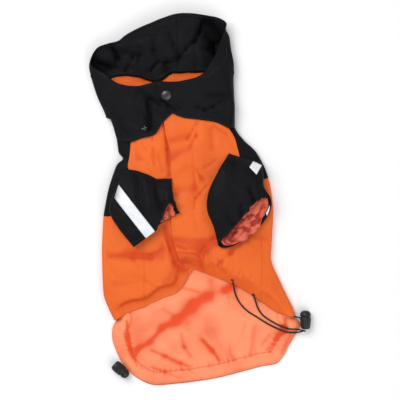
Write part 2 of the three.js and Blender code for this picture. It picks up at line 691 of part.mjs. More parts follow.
function locate(shape, x, y) {
  let best = { angle: Math.PI / 2, v: 0.5 };
  let reach = { angle: Math.PI / 2, v: 0.5 };
  while (reach.v > SEARCH_END) {
    let nearest = Infinity;
    const centre = best;
    for (let i = -SEARCH_STEPS; i <= SEARCH_STEPS; i++) {
      for (let j = -SEARCH_STEPS; j <= SEARCH_STEPS; j++) {
        const turn = centre.angle + (reach.angle * i) / SEARCH_STEPS;
        const angle = Math.min(Math.PI, Math.max(0, turn));
        const v = Math.min(SEARCH_TO, Math.max(SEARCH_FROM, centre.v + (reach.v * j) / SEARCH_STEPS));
        const p = shape(angle, v);
        const away = Math.hypot(p.x - x, p.y - y);
        if (away < nearest) {
          nearest = away;
          best = { angle, v };
        }
      }
    }
    reach = { angle: reach.angle / SEARCH_NARROWING, v: reach.v / SEARCH_NARROWING };
  }
  return best;
}

const TAPE_STEP = 0.01;

function tape(name, shape, corners, spans) {
  const [a, b, c, d] = corners.map(({ x, y }) => new THREE.Vector2(x, y));
  const surface = (u, v) => {
    const place = a.clone().lerp(b, u).lerp(c.clone().lerp(d, u), v);
    const at = locate(shape, place.x, place.y);
    const around = shape(at.angle + TAPE_STEP, at.v).sub(shape(at.angle - TAPE_STEP, at.v));
    const along = shape(at.angle, at.v + TAPE_STEP).sub(shape(at.angle, at.v - TAPE_STEP));
    const out = around.cross(along).normalize();
    return shape(at.angle, at.v).addScaledVector(out, TAPE_LIFT + TAPE_THICKNESS);
  };
  const grid = sample(surface, spans.long, spans.wide);
  return piece(name, wall(grid, TAPE_THICKNESS, -1), TAPE_WHITE, 0.35);
}

tape("tape_sleeve_left", leftSleeve, TAPE_SLEEVE_LEFT, { long: 18, wide: 3 });
tape("tape_shoulder_right", rightSleeve, TAPE_SHOULDER_RIGHT, { long: 3, wide: 4 });

// ---- throat snap ----
// It sits where a line straight down meets the hood's lapped corner, square to the face there.
const SNAP = { x: -31.4, y: 114.1 };
const ABOVE = 200;
const SNAP_SIDES = 24;
const drop = new THREE.Raycaster(new THREE.Vector3(SNAP.x, SNAP.y, ABOVE), new THREE.Vector3(0, 0, -1));
hoodRight.updateMatrixWorld();
const seat = drop.intersectObject(hoodRight)[0];
const snapProfile = table("radius height", [
  [0, 0], [SNAP_RADIUS - 0.4, 0], [SNAP_RADIUS, 0.5], [SNAP_RADIUS - 0.3, 1.2], [SNAP_RADIUS - 1.4, 1.5],
  [SNAP_RADIUS - 2.2, 1.2], [0, SNAP_HEIGHT - 0.8], [0, 0],
]);
const snap = piece(
  "throat_snap",
  new THREE.LatheGeometry(snapProfile.map((row) => new THREE.Vector2(row.radius, row.height)), SNAP_SIDES),
  PLASTIC_BLACK,
  0.35,
);
const LATHE_AXIS = new THREE.Vector3(0, 1, 0);
snap.quaternion.setFromUnitVectors(LATHE_AXIS, seat.face.normal);
snap.position.copy(seat.point).addScaledVector(seat.face.normal, SEAM_GAP);

// ---- cord locks: a barrel and a push button in line, lying on the ground beside the hem ----
const LOCK_SIDES = 18;
const LOCK_LIFT = 0.2;
const LOCKS = table("x y dx dy", [[122, -143, 0, 1], [-89.4, -181.45, 0.74, -0.67]]);
const BARREL = table("radius along", [
  [0, 0], [0.62, 0], [0.9, 0.12], [1, 0.3], [0.96, 0.5], [1, 0.7], [0.92, 0.9], [0.7, 1], [0, 1], [0, 0],
]);
const BUTTON = table("radius along", [
  [0, 0], [0.52, 0], [0.52, 0.25], [0.84, 0.4], [0.9, 0.7], [0.72, 0.94], [0.4, 1], [0, 1], [0, 0],
]);

function turned(name, rows, radius, length, at, axis) {
  const profile = rows.map((row) => new THREE.Vector2(row.radius * radius, row.along * length));
  const mesh = piece(name, new THREE.LatheGeometry(profile, LOCK_SIDES), PLASTIC_BLACK, 0.45);
  mesh.quaternion.setFromUnitVectors(LATHE_AXIS, axis);
  mesh.position.copy(at);
  return mesh;
}

LOCKS.forEach((lock, i) => {
  const name = i === 0 ? "cord_lock_right" : "cord_lock_left";
  const start = new THREE.Vector3(lock.x, lock.y, LOCK_RADIUS + LOCK_LIFT);
  const axis = new THREE.Vector3(lock.dx, lock.dy, 0).normalize();
  turned(name + "_barrel", BARREL, LOCK_RADIUS, LOCK_BODY_LENGTH, start, axis);
  const next = start.clone().addScaledVector(axis, LOCK_BODY_LENGTH + SEAM_GAP);
  turned(name + "_button", BUTTON, LOCK_RADIUS, LOCK_BUTTON_LENGTH, next, axis);
});

// ---- hem drawcord: two strands out of the front hem, over the lining, to the right cord lock ----
// over: height of the cord's middle above the lining.
const CORD_LONG = table("x y over", [
  [41.4, -89, 5], [42.8, -96, 4.4], [44.2, -103, 2.6], [48.5, -112.5, 1.6], [57, -122.2, 1.4], [69, -130, 1.4],
  [80, -136.8, 1.7], [92, -142.8, 2], [103, -146.4, 2.2],
]);
const CORD_SHORT = table("x y over", [
  [64.6, -105.4, 5], [67, -112.5, 3.8], [69.4, -119.6, 2.2], [74, -126.6, 1.5], [81.5, -132.4, 1.4],
  [93, -138.8, 1.4], [104, -142.6, 1.6],
]);
const CORD_END = table("x y z", [[113, -146.6, 4.6], [118.2, -145.4, 5.4], [120.6, -144.4, 5.6]]);
const CORD_SHORT_END = table("x y z", [[112.4, -143.2, 6], [117.4, -143.8, 8.4], [122, -145.2, 8]]);

function cord(name, rows, ends, steps) {
  const lying = ({ x, y, over }) => new THREE.Vector3(x, y, LINING_FACE + backLift(x, y) + over);
  const points = rows.map(lying);
  ends.forEach(({ x, y, z }) => points.push(new THREE.Vector3(x, y, z)));
  const path = smooth(points);
  const section = new THREE.Shape().absarc(0, 0, CORD_DIAMETER / 2, 0, 2 * Math.PI);
  const options = { steps, curveSegments: CORD_SIDES / 2, extrudePath: path, bevelEnabled: false };
  return piece(name, new THREE.ExtrudeGeometry(section, options), BLACK, 0.7);
}

const CORD_LONG_STEPS = 36;
const CORD_SHORT_STEPS = 28;
cord("drawcord_long", CORD_LONG, CORD_END, CORD_LONG_STEPS);
cord("drawcord_short", CORD_SHORT, CORD_SHORT_END, CORD_SHORT_STEPS);

export default coat;
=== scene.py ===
"""A small dog's hooded raincoat, laid on its back with the chest side up: the finished look over the solids.

Metres, in the frame of the solids. Tables and shapes are in millimetres, and turn to metres as a mesh is made.
"""

import math

import bmesh
import bpy
import numpy as np
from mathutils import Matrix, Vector
from mathutils.bvhtree import BVHTree


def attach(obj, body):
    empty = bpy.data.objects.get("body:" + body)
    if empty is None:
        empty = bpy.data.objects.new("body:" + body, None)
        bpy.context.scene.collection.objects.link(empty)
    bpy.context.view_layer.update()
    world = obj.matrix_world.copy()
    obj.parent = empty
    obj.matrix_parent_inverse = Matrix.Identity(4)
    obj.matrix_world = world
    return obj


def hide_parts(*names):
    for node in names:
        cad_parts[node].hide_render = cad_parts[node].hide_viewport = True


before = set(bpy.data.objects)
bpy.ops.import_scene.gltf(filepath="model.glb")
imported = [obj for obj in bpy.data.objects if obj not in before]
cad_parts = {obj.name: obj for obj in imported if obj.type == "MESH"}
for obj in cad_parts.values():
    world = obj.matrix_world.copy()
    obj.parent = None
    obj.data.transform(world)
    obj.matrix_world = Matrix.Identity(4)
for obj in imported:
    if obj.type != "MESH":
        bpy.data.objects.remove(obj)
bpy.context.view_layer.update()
MM = 0.001

# ---- The table, the light and the view ----
# The coat lies on a plain pale table top. A wide soft light hangs over its upper left, with a weaker one opposite.
# The camera hangs straight above it, far off, behind a long lens, so that the sides hardly show.
VIEW_WIDTH = 0.440
VIEW_CENTRE = (0.0055, -0.0003)
CLOTH_LEVEL = 0.013
LENS = 135
SENSOR = 36
TABLE_HALF = 4
TABLE_WHITE = "FCFCFD"
AIR_WHITE = "FFFFFF"
AIR_STRENGTH = 0.44
# Where each lamp hangs, its width and its watts.
KEY_LAMP = ((-0.62, 0.62, 1.2), 1.0, 13.5)
FILL_LAMP = ((0.6, -0.9, 1.1), 1.4, 8.5)


def linear(hex_colour):
    """The linear colour of an sRGB hex."""
    parts = [int(hex_colour[i : i + 2], 16) / 255 for i in (0, 2, 4)]
    return (*[c / 12.92 if c <= 0.04045 else ((c + 0.055) / 1.055) ** 2.4 for c in parts], 1.0)


def feed(tree, fed, inputs):
    """Gives the inputs of a node their values, or links them to the sockets that feed them."""
    for key, value in inputs.items():
        if isinstance(value, bpy.types.NodeSocket):
            tree.links.new(value, fed.inputs[key])
        else:
            fed.inputs[key].default_value = value


def node(tree, kind, inputs=None, **settings):
    """Adds a node, with its settings, and its inputs as values or as the sockets that feed them."""
    made = tree.nodes.new(kind)
    for key, value in settings.items():
        setattr(made, key, value)
    feed(tree, made, inputs or {})
    return made


def material(name):
    """A new material with its node tree, and its shader."""
    made = bpy.data.materials.new(name)
    made.use_nodes = True
    return made, made.node_tree, made.node_tree.nodes["Principled BSDF"]


def new_object(name, data):
    made = bpy.data.objects.new(name, data)
    bpy.context.scene.collection.objects.link(made)
    return made


def area_light(name, place, size, watts):
    """A square lamp that faces the middle of the coat."""
    lamp = bpy.data.lights.new(name, "AREA")
    lamp.size = size
    lamp.energy = watts
    made = new_object(name, lamp)
    made.location = place
    made.rotation_euler = (-made.location).to_track_quat("-Z", "Y").to_euler()
    return made


distance = VIEW_WIDTH * LENS / SENSOR
camera = new_object("camera", bpy.data.cameras.new("camera"))
camera.data.lens = LENS
camera.data.sensor_width = SENSOR
camera.location = (*VIEW_CENTRE, CLOTH_LEVEL + distance)
bpy.context.scene.camera = camera
bpy.context.scene.view_settings.view_transform = "Standard"

area_light("key", *KEY_LAMP)
area_light("fill", *FILL_LAMP)
world = bpy.data.worlds.new("studio")
world.use_nodes = True
tree = world.node_tree
feed(tree, tree.nodes["Background"], {"Color": linear(AIR_WHITE), "Strength": AIR_STRENGTH})
bpy.context.scene.world = world

table_paint, tree, shader = material("table_top_laminate")
feed(tree, shader, {"Base Color": linear(TABLE_WHITE), "Roughness": 0.6})
table_mesh = bpy.data.meshes.new("table_top")
corners = [(x * TABLE_HALF, y * TABLE_HALF, 0) for x, y in ((-1, -1), (1, -1), (1, 1), (-1, 1))]
table_mesh.from_pydata(corners, [], [(0, 1, 2, 3)])
table_mesh.materials.append(table_paint)
new_object("table_top", table_mesh)

# ---- Drawcord ----
# A thin round elastic cord, braided polyester over rubber. Two strands leave eyelets in the front hem, lie over
# the lining and run together into the right cord lock. A third end comes out of the back hem to the same lock.
CORD_DIAMETER = 1.8
CORD_LONG = [
    (41.4, -89.0, 7.8), (42.8, -96.0, 7.2), (44.2, -103.0, 5.6), (48.5, -112.5, 5.8), (57.0, -122.2, 6.5),
    (69.0, -130.0, 6.8), (80.0, -136.8, 7.4), (92.0, -142.8, 7.3), (103.0, -146.4, 6.6), (113.0, -146.6, 4.6),
    (118.2, -145.4, 5.4), (120.6, -144.4, 5.6),
]  # fmt: skip
CORD_SHORT = [
    (64.6, -105.4, 7.9), (67.0, -112.5, 7.0), (69.4, -119.6, 6.1), (74.0, -126.6, 6.2), (81.5, -132.4, 6.5),
    (93.0, -138.8, 7.0), (104.0, -142.6, 6.8), (112.4, -143.2, 6.0), (117.4, -143.8, 8.4), (122.0, -145.2, 8.0),
]  # fmt: skip
CORD_THIRD = [(104.5, -128.4, 4.6), (108.0, -128.6, 5.6), (112.0, -129.4, 6.4), (117.0, -130.6, 6.6)]
CORD_BLACK = "17171A"
CORD_STEPS = 72
CORD_THIRD_STEPS = 24
# A rib of the braid every 2.4 mm along an axis.
BRAID_SCALE = 260.0


def spline(points, t):
    """A centripetal curve through points, at places t from 0 to 1 that count the points evenly."""
    points = np.asarray(points, float)
    before = 2 * points[:1] - points[1:2]
    after = 2 * points[-1:] - points[-2:-1]
    padded = np.concatenate([before, points, after])
    t = np.clip(np.asarray(t, float), 0, 1) * (len(points) - 1)
    i = np.minimum(t.astype(int), len(points) - 2)
    w = (t - i)[..., None]
    p0, p1, p2, p3 = (padded[i + k] for k in range(4))
    d0, d1, d2 = (
        np.maximum(np.sqrt(np.linalg.norm(b - a, axis=-1, keepdims=True)), 1e-2)
        for a, b in ((p0, p1), (p1, p2), (p2, p3))
    )
    m1 = d1 * ((p1 - p0) / d0 - (p2 - p0) / (d0 + d1) + (p2 - p1) / d1)
    m2 = d1 * ((p2 - p1) / d1 - (p3 - p1) / (d1 + d2) + (p3 - p2) / d2)
    return p1 + w * m1 + w**2 * (3 * (p2 - p1) - 2 * m1 - m2) + w**3 * (2 * (p1 - p2) + m1 + m2)


def shares(line):
    """How far along a line each of its points is, from 0 to 1, and the line's length."""
    steps = np.linalg.norm(np.diff(line, axis=0), axis=1)
    run = np.concatenate([[0], np.cumsum(steps)])
    return run / run[-1], run[-1]


cord_braid, tree, shader = material("braided_elastic_cord")
# Fine diagonal ribs from the braid, drawn three times as coarse as the real yarn so that they show.
place = node(tree, "ShaderNodeTexCoord").outputs["Object"]
ribs = node(
    tree, "ShaderNodeTexWave", {"Vector": place, "Scale": BRAID_SCALE, "Distortion": 2.0, "Detail": 1.0},
    wave_type="BANDS", bands_direction="DIAGONAL",
)  # fmt: skip
relief = node(tree, "ShaderNodeBump", {"Strength": 0.5, "Distance": 0.0003, "Height": ribs.outputs["Fac"]})
feed(tree, shader, {"Base Color": linear(CORD_BLACK), "Roughness": 0.65, "Normal": relief.outputs["Normal"]})


def cord_piece(name, points, steps=CORD_STEPS):
    """A round cord through points, as one open curve."""
    line = spline(points, np.linspace(0, 1, steps)) * MM
    data = bpy.data.curves.new(name, "CURVE")
    data.dimensions = "3D"
    data.bevel_depth = CORD_DIAMETER / 2 * MM
    data.bevel_resolution = 3
    data.use_fill_caps = True
    run = data.splines.new("POLY")
    run.points.add(len(line) - 1)
    run.points.foreach_set("co", np.column_stack([line, np.ones(len(line))]).ravel())
    data.materials.append(cord_braid)
    made = new_object(name, data)
    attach(made, "root")
    return made, shares(line)[1]


long_strand, long_length = cord_piece("drawcord_long_strand", CORD_LONG)
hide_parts("drawcord_long")
short_strand, short_length = cord_piece("drawcord_short_strand", CORD_SHORT)
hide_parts("drawcord_short")
# This end is 13 mm long.
cord_piece("drawcord_hem_end", CORD_THIRD, CORD_THIRD_STEPS)

# ---- Cord locks ----
# Moulded black nylon toggles: a fluted bean-shaped barrel with a hole across it for the cord, and a sprung push
# button in its end. They lie on the table beside the hem, the right one upright along Y, the left one askew.
LOCK_RADIUS = 5.9
LOCK_BODY_LENGTH = 13.8
LOCK_BUTTON_LENGTH = 6.6
LOCK_GAP = 0.3
LOCK_LIFT = 0.2
LOCK_FLUTES = 11
FLUTE_DEPTH = 0.12
# Where the barrel's blind end lies, and the way that the lock points from there.
LOCK_PLACES = {"right": (122, -143, 0, 1), "left": (-89.4, -181.45, 0.74, -0.67)}
# Turned pieces are drawn with this many sides, and pressed a little flat.
TURNED_SIDES = 72
TURNED_FLATNESS = 0.97
# Share of the radius, and share of the length.
BARREL = [
    (0, 0), (0.6, 0), (0.84, 0.03), (0.95, 0.09), (1, 0.18), (1, 0.32), (1, 0.46), (1, 0.6), (1, 0.74),
    (1, 0.86), (0.97, 0.95), (0.9, 1), (0, 1),
]  # fmt: skip
BUTTON = [
    (0, 0), (0.86, 0), (0.95, 0.06), (1, 0.16), (1, 0.34), (0.97, 0.5), (0.9, 0.66), (0.78, 0.8),
    (0.6, 0.91), (0.36, 0.98), (0, 1),
]  # fmt: skip
# Share of the radius at even steps along the whole lock.
TAPER = {"right": [0.84, 0.93, 1.0, 1.03, 1.02, 0.98], "left": [0.95, 1.03, 1.02, 0.95, 0.86, 0.78]}
NYLON_BLACK = "121214"
# A dent of the mould's grain about every 0.4 mm.
GRAIN_SCALE = 2600.0

moulded_nylon, tree, shader = material("moulded_black_nylon")
# Spark-eroded mould texture: a fine even grain that breaks up the gloss.
place = node(tree, "ShaderNodeTexCoord").outputs["Object"]
grain = node(tree, "ShaderNodeTexNoise", {"Vector": place, "Scale": GRAIN_SCALE, "Detail": 3.0})
relief = node(tree, "ShaderNodeBump", {"Strength": 0.35, "Distance": 0.00012, "Height": grain.outputs["Fac"]})
feed(tree, shader, {"Base Color": linear(NYLON_BLACK), "Roughness": 0.36, "Normal": relief.outputs["Normal"]})


def mesh_piece(name, points, faces, materials, smooth=True):
    """A mesh object from points in millimetres."""
    data = bpy.data.meshes.new(name)
    data.from_pydata((np.asarray(points) * MM).tolist(), [], [tuple(face) for face in faces])
    for one in materials:
        data.materials.append(one)
    data.polygons.foreach_set("use_smooth", [smooth] * len(data.polygons))
    data.validate()
    data.update()
    return new_object(name, data)


def turned(name, profile, radius, length, start, axis, materials, grow=None, flutes=0):
    """A shape turned about an axis, its profile given from the start of the axis to its end.

    grow gives a share of the radius for a share of the length. flutes is how many grooves run along it.
    """
    axis = np.array(axis, float) / np.linalg.norm(axis)
    side = np.cross(axis, (0, 0, 1))
    side = side / np.linalg.norm(side) if np.linalg.norm(side) > 0.1 else np.array([1.0, 0, 0])
    up = np.cross(side, axis)
    angles = np.linspace(0, 2 * np.pi, TURNED_SIDES, endpoint=False)
    points, rings = [], []
    for share, along in profile:
        middle = np.array(start) + axis * along * length
        if share == 0:
            rings.append([len(points)])
            points.append(middle)
            continue
        rings.append(list(range(len(points), len(points) + TURNED_SIDES)))
        here = radius * share * (grow(along) if grow else 1)
        groove = FLUTE_DEPTH * math.sin(math.pi * along) ** 0.5 if flutes and 0 < along < 1 else 0
        for a in angles:
            out = here * (1 - groove * (0.5 + 0.5 * math.cos(flutes * a)) ** 3)
            points.append(middle + out * (math.cos(a) * side + math.sin(a) * up * TURNED_FLATNESS))
    faces = []
    for low, high in zip(rings, rings[1:]):
        for k in range(TURNED_SIDES):
            n = (k + 1) % TURNED_SIDES
            if len(low) == 1:
                faces.append((low[0], high[n], high[k]))
            elif len(high) == 1:
                faces.append((low[k], low[n], high[0]))
            else:
                faces.append((low[k], low[n], high[n], high[k]))
    made = mesh_piece(name, points, faces, materials)
    fix_normals(made)
    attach(made, "root")
    return made


def fix_normals(made):
    """Turns all the faces of a closed mesh outwards."""
    work = bmesh.new()
    work.from_mesh(made.data)
    bmesh.ops.recalc_face_normals(work, faces=work.faces)
    work.to_mesh(made.data)
    work.free()


def cord_lock(side):
    """The barrel and the button of the lock on one side."""
    x, y, dx, dy = LOCK_PLACES[side]
    axis = np.array([dx, dy, 0]) / math.hypot(dx, dy)
    start = np.array([x, y, LOCK_RADIUS + LOCK_LIFT])
    whole = LOCK_BODY_LENGTH + LOCK_GAP + LOCK_BUTTON_LENGTH
    taper = TAPER[side]

    def grow(first, length):
        return lambda along: float(np.interp((first + along * length) / whole, np.linspace(0, 1, len(taper)), taper))

    button_from = LOCK_BODY_LENGTH + LOCK_GAP
    barrel = turned(
        f"cord_lock_{side}_barrel_shell", BARREL, LOCK_RADIUS, LOCK_BODY_LENGTH, start, axis, [moulded_nylon],
        grow(0, LOCK_BODY_LENGTH), LOCK_FLUTES,
    )  # fmt: skip
    button = turned(
        f"cord_lock_{side}_button_cap", BUTTON, LOCK_RADIUS, LOCK_BUTTON_LENGTH, start + axis * button_from, axis,
        [moulded_nylon], grow(button_from, LOCK_BUTTON_LENGTH),
    )  # fmt: skip
    for made, part in ((barrel, "barrel"), (button, "button")):
        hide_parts(f"cord_lock_{side}_{part}")
    return barrel, button


right_lock = cord_lock("right")
cord_lock("left")

# ---- Back panel ----
# Orange woven polyester with a thin proofed back, cut in one with both flanks: it runs from the front's side
# seams round the side folds and under the whole coat. Its hem is a curved tail, turned in over a drawcord.
CLOTH = 1.0
SEAM_DROP = 1.3
SIDE_RADIUS = 4.8
CROWN = 6.4
CROWN_REACH = 22
FOLD_FADE = 6
YOKE_SEAM_LEFT = -18
YOKE_SEAM_RIGHT = 24
FREE_HEM_FROM = -96
FREE_HEM_OVER = 18
SIDE_LEFT = [
    (-118, 150), (-104, 112), (-91.3, 88), (-86.5, 66), (-85, 46), (-91, 27), (-95.6, 12), (-98.5, -2),
    (-101.2, -18), (-102.3, -36), (-103, -55), (-102.6, -75), (-102, -92), (-100.6, -107), (-95.2, -121),
    (-89.1, -133.4),
]  # fmt: skip
SIDE_RIGHT = [
    (42.6, 150), (42, 120), (43.6, 98), (44, 80), (53.9, 66), (66, 54.5), (73, 43.5), (78.5, 32), (82.5, 18),
    (85, 4), (86.6, -11), (85.6, -33), (84.6, -52), (84.2, -67), (93, -88), (102, -107), (108, -119),
    (111.1, -127.9),
]  # fmt: skip
BACK_EDGE_LEFT = [
    (-73, -15), (-66.5, -24), (-62.4, -34), (-58, -50), (-57.1, -75), (-57.1, -100), (-55.9, -119.2),
]  # fmt: skip
BACK_EDGE_RIGHT = [
    (68, 19), (70, 4), (71.4, -22), (73.7, -50), (74.9, -72), (73.9, -97), (73.1, -112.8),
]  # fmt: skip
HEM_SIDE_LEFT = (-73.7, -125.1)
HEM_SIDE_RIGHT = (90, -124.6)
FLANK_LEFT = [(-90.6, -140), (-92, -148), (-90.8, -158)]
FLANK_RIGHT = [(114.5, -134), (116.6, -139.5), (113.6, -145.5), (108, -152.5)]
HEM_BACK = [
    (-86.5, -170), (-82, -179), (-74.8, -188.4), (-63.8, -197.7), (-47.3, -204.9), (-22, -203.8),
    (5.5, -200.5), (27.5, -196.6), (55, -189.5), (73.7, -184.5), (90.2, -181.2), (97.9, -173), (103.6, -161.5),
]  # fmt: skip
# Soft ridges, height above 0, and troughs, below 0, each along a line. sharp is 2 for a rounded one and 1 for
# a pinched one.
CREASE = "x1 y1 x2 y2 width height sharp"
BACK_FOLDS = [
    (-70, -141, -20, -112, 13, 3.2, 2),
    (-30, -162, 24, -122, 13, 3.4, 2),
    (6, -148, 30, -176, 9, 2.6, 2),
    (-36, -176, -10, -186, 8, 2.4, 2),
    (-66, -160, -62, -182, 7, 2, 2),
    (40, -118, 76, -134, 12, 2.4, 2),
    (60, -148, 92, -150, 11, 2.9, 2),
    (92, -134, 106, -140, 6, 2.4, 2),
    (52, -172, 84, -166, 7, 2, 2),
]
FRONT_FOLDS = [
    (2, 84, -4, 58, 6, 1.2, 2),
    (-6, 60, -23, 32, 7, 1.0, 2),
    (2, 32, 14, 12, 7, 1.0, 2),
    (-10, 24, -12, -10, 8, 0.9, 2),
    (-62, 62, -46, 34, 7, 1.2, 2),
    (-24, -46, 6, -56, 7, -1.3, 2),
    (8, -52, 34, -42, 8, -1.4, 2),
    (30, -62, 62, -58, 9, 1.4, 2),
    (-98, -60, -42, -63, 6, -1.0, 2),
    (-92, -74, -60, -78, 9, 1.4, 2),
    (-30, -88, -14, -70, 7, -1.6, 2),
    (-86, -54, -96, -28, 7, 1.5, 2),
    (24, -80, 62, -94, 6, 1.2, 2),
    (84, -100, 100, -118, 6, 1.4, 2),
]
# The finer creases of the front and flanks, where the cloth has been folded and pulled.
FRONT_CREASES = [
    (-26, 64, -6, 70, 5.0, -1.3, 2),
    (-27, 79, -9, 81, 8.0, 1.0, 2),
    (-24, 58, -8, 62, 3.5, 0.8, 1.8),
    (-24, 46, -5, 57, 5.5, -1.9, 1.6),
    (-5, 57, 1.5, 70, 3.4, -1.8, 1.4),
    (1.5, 70, 3.5, 86, 2.4, -1.7, 1.3),
    (-9, 66, -2, 77, 1.8, -1.4, 1.3),
    (-2, 77, 2.5, 84, 1.8, -1.2, 1.3),
    (-5, 62, 0, 73, 1.8, 1.0, 1.4),
    (9, 82, 6, 40, 6.5, 1.4, 2),
    (-1, 52, -1.5, 36, 1.4, -0.7, 1.3),
    (17.5, 78, 18.5, 57, 4.0, -1.0, 1.8),
    (28, 63, 38, 55, 5.0, 1.0, 1.8),
    (30, 59, 36, 52, 1.6, -0.7, 1.3),
    (22, 81, 36, 72, 1.8, -0.9, 1.4),
    (24, 85, 36, 77, 2.2, 0.8, 1.5),
    (12, 35, 21, 42, 2.5, -0.9, 1.6),
    (-17, 35, -5, 44, 6.0, 1.6, 2),
    (-18, 10, -2, 12, 6.5, -1.6, 2),
    (-21, 6, -18, 2, 2.5, -0.9, 1.5),
    (0, 35, 9, 22, 2.6, -1.6, 1.3),
    (5, 26, 13, 17, 4.0, -1.0, 1.8),
    (-1, 31, 1, 11, 1.8, -1.1, 1.3),
    (3.5, 27, 3.5, 14, 1.8, 0.8, 1.5),
    (13, 14, 5.5, 6.5, 1.6, -1.0, 1.3),
    (5.5, 6.5, 1, 2, 1.6, -1.1, 1.3),
    (1, 2, -0.5, -10, 1.8, -1.1, 1.3),
    (-14, -2, -6, -6, 6.0, 0.9, 2),
    (-12, -28, 4, -28, 12.0, 1.6, 2),
    (-8, -12, -24, -27, 2.2, -0.8, 1.5),
    (-1, -16, 3, -33, 2.4, -1.0, 1.4),
    (6, -16, 12, -28, 4.0, 0.9, 1.8),
    (-20, -44, 9, -45, 4.0, -1.0, 2),
    (-20, -50, -9, -54.5, 1.5, -1.1, 1.3),
    (-20, -47.5, -8, -52, 1.5, 0.9, 1.3),
    (21, -44, 11, -53, 3.6, -2.2, 1.5),
    (11, -53, 5.5, -62, 2.8, -2.0, 1.4),
    (5.5, -62, 6.5, -75, 1.8, -1.5, 1.3),
    (-18, -58, 4, -60, 1.8, -1.4, 1.3),
    (-18, -55.5, 2, -57, 2.0, 1.0, 1.5),
    (-16, -64, 3, -68, 4.0, -0.9, 1.8),
    (-11, -68, 3, -74, 1.6, -0.9, 1.3),
    (50, -49, 40, -58, 4.4, -2.0, 1.6),
    (40, -58, 29, -68, 3.0, -1.7, 1.4),
    (29, -68, 25, -74, 2.0, -1.2, 1.3),
    (41, -50, 40, -60, 3.5, -1.0, 1.6),
    (9.5, -57, 9.5, -78, 1.3, -1.0, 1.3),
    (14.5, -56, 15, -74, 1.3, -0.9, 1.3),
    (18, -58, 20, -80, 1.2, -0.8, 1.3),
    (22, -60, 23, -78, 1.2, -0.9, 1.3),
    (26, -62, 25, -76, 1.2, -0.7, 1.3),
    (30, -66, 28, -82, 1.3, -0.8, 1.3),
    (12, -57, 12, -74, 1.4, 0.8, 1.4),
    (16.5, -58, 17.5, -76, 1.3, 0.7, 1.4),
    (20.5, -60, 21.5, -78, 1.3, 0.7, 1.4),
    (24, -62, 24, -76, 1.3, 0.6, 1.4),
    (53, -74, 54, -86, 1.6, -0.6, 1.3),
    (56, -62, 70, -90, 14.0, 1.4, 2),
    (60, -40, 78, -44, 5.0, -0.9, 2),
    (-65, 62, -62, 46, 3.5, -1.1, 1.8),
    (-59, 63, -53, 55, 1.8, -1.2, 1.3),
    (-44, 68, -38, 56, 5.0, 1.0, 2),
    (-47.5, 69, -46.5, 65, 1.4, -1.4, 1.4),
    (-60, 44, -53, 40, 2.0, -0.9, 1.4),
    (-46, 55, -43, 38, 1.8, -1.3, 1.3),
    (-50, 48, -47, 33, 3.5, 1.0, 1.6),
    (-40, 48, -35, 31, 3.0, -0.9, 1.6),
    (-92, -63, -68, -62, 3.0, -1.4, 1.5),
    (-68, -62, -49, -63, 3.6, -1.8, 1.5),
    (-49, -63, -37, -55, 3.2, -1.4, 1.5),
    (-90, -68, -50, -69, 3.0, 0.9, 1.6),
    (-84, -56, -62, -55, 6.0, -0.8, 2),
    (-68, -65, -58, -74, 1.8, -1.1, 1.3),
    (-100, -61, -90, -82, 2.0, -0.8, 1.4),
    (-88, -93, -56, -89, 4.5, -0.9, 1.8),
    (-55, -89, -42, -97, 1.6, -0.8, 1.3),
    (-36, -50, -35, -66, 3.2, -0.9, 1.6),
    (-78, -78, -36, -78, 12.0, 1.2, 2),
    (-96, -34, -88, -48, 4.0, 0.9, 1.8),
]
# These are on the left front alone, where it runs in under the lap.
LAP_HOLLOWS = [
    (-33.5, 84, -29.5, 55, 2.4, -1.8, 1.4),
    (-29.5, 55, -28, 27, 3.0, -2.0, 1.5),
    (-34, -30, -26, -54, 4.0, -2.0, 1.5),
    (-26, -54, -20, -69, 4.4, -2.4, 1.5),
    (-20, -69, -12, -76, 4.0, -2.4, 1.5),
    (-35, -42, -29, -56, 2.0, 1.0, 1.4),
]


def smooth(t):
    t = np.clip(t, 0, 1)
    return t * t * (3 - 2 * t)


def table(names, rows):
    """Rows of numbers as rows with named columns."""
    return [dict(zip(names.split(), row)) for row in rows]


def bell(away, width):
    """1 in the middle of a soft band, falling to nearly nothing at twice its width."""
    return np.exp(-((away / width) ** 2))


def unit(vectors):
    """Vectors made one long."""
    return vectors / np.maximum(np.linalg.norm(vectors, axis=-1, keepdims=True), 1e-9)


def creases(rows, x, y):
    """How far a set of creases lifts the cloth at places x, y."""
    lift = np.zeros(np.broadcast(x, y).shape)
    for c in table(CREASE, rows):
        dx, dy = c["x2"] - c["x1"], c["y2"] - c["y1"]
        t = np.clip(((x - c["x1"]) * dx + (y - c["y1"]) * dy) / (dx**2 + dy**2), 0, 1)
        away = np.hypot(x - c["x1"] - t * dx, y - c["y1"] - t * dy) / c["width"]
        lift += c["height"] * np.exp(-(away ** c["sharp"]))
    return lift


def crumple(seed, count, region, length, width, height):
    """Small creases at random, in a region given as low x, low y, high x, high y."""
    random = np.random.default_rng(seed)
    rows = []
    for _ in range(count):
        x, y = random.uniform(region[:2], region[2:])
        turn, half = random.uniform(0, math.pi), random.uniform(*length) / 2
        dx, dy = half * math.cos(turn), half * math.sin(turn)
        sign = 1 if random.random() < 0.5 else -1
        rows.append((x - dx, y - dy, x + dx, y + dy, random.uniform(*width), sign * random.uniform(*height), 1.5))
    return rows


def run(points, steps=400):
    """A smooth line through points, as a function of the share of its length."""
    line = spline(points, np.linspace(0, 1, steps + 1))
    share, _ = shares(line)
    return lambda t: np.stack([np.interp(t, share, line[:, k]) for k in range(line.shape[1])], -1)


def straight(a, b):
    return lambda t: a + (np.asarray(b) - a) * np.asarray(t, float)[..., None]


def part_of(line, start, end):
    return lambda t: line(start + (end - start) * np.asarray(t, float))


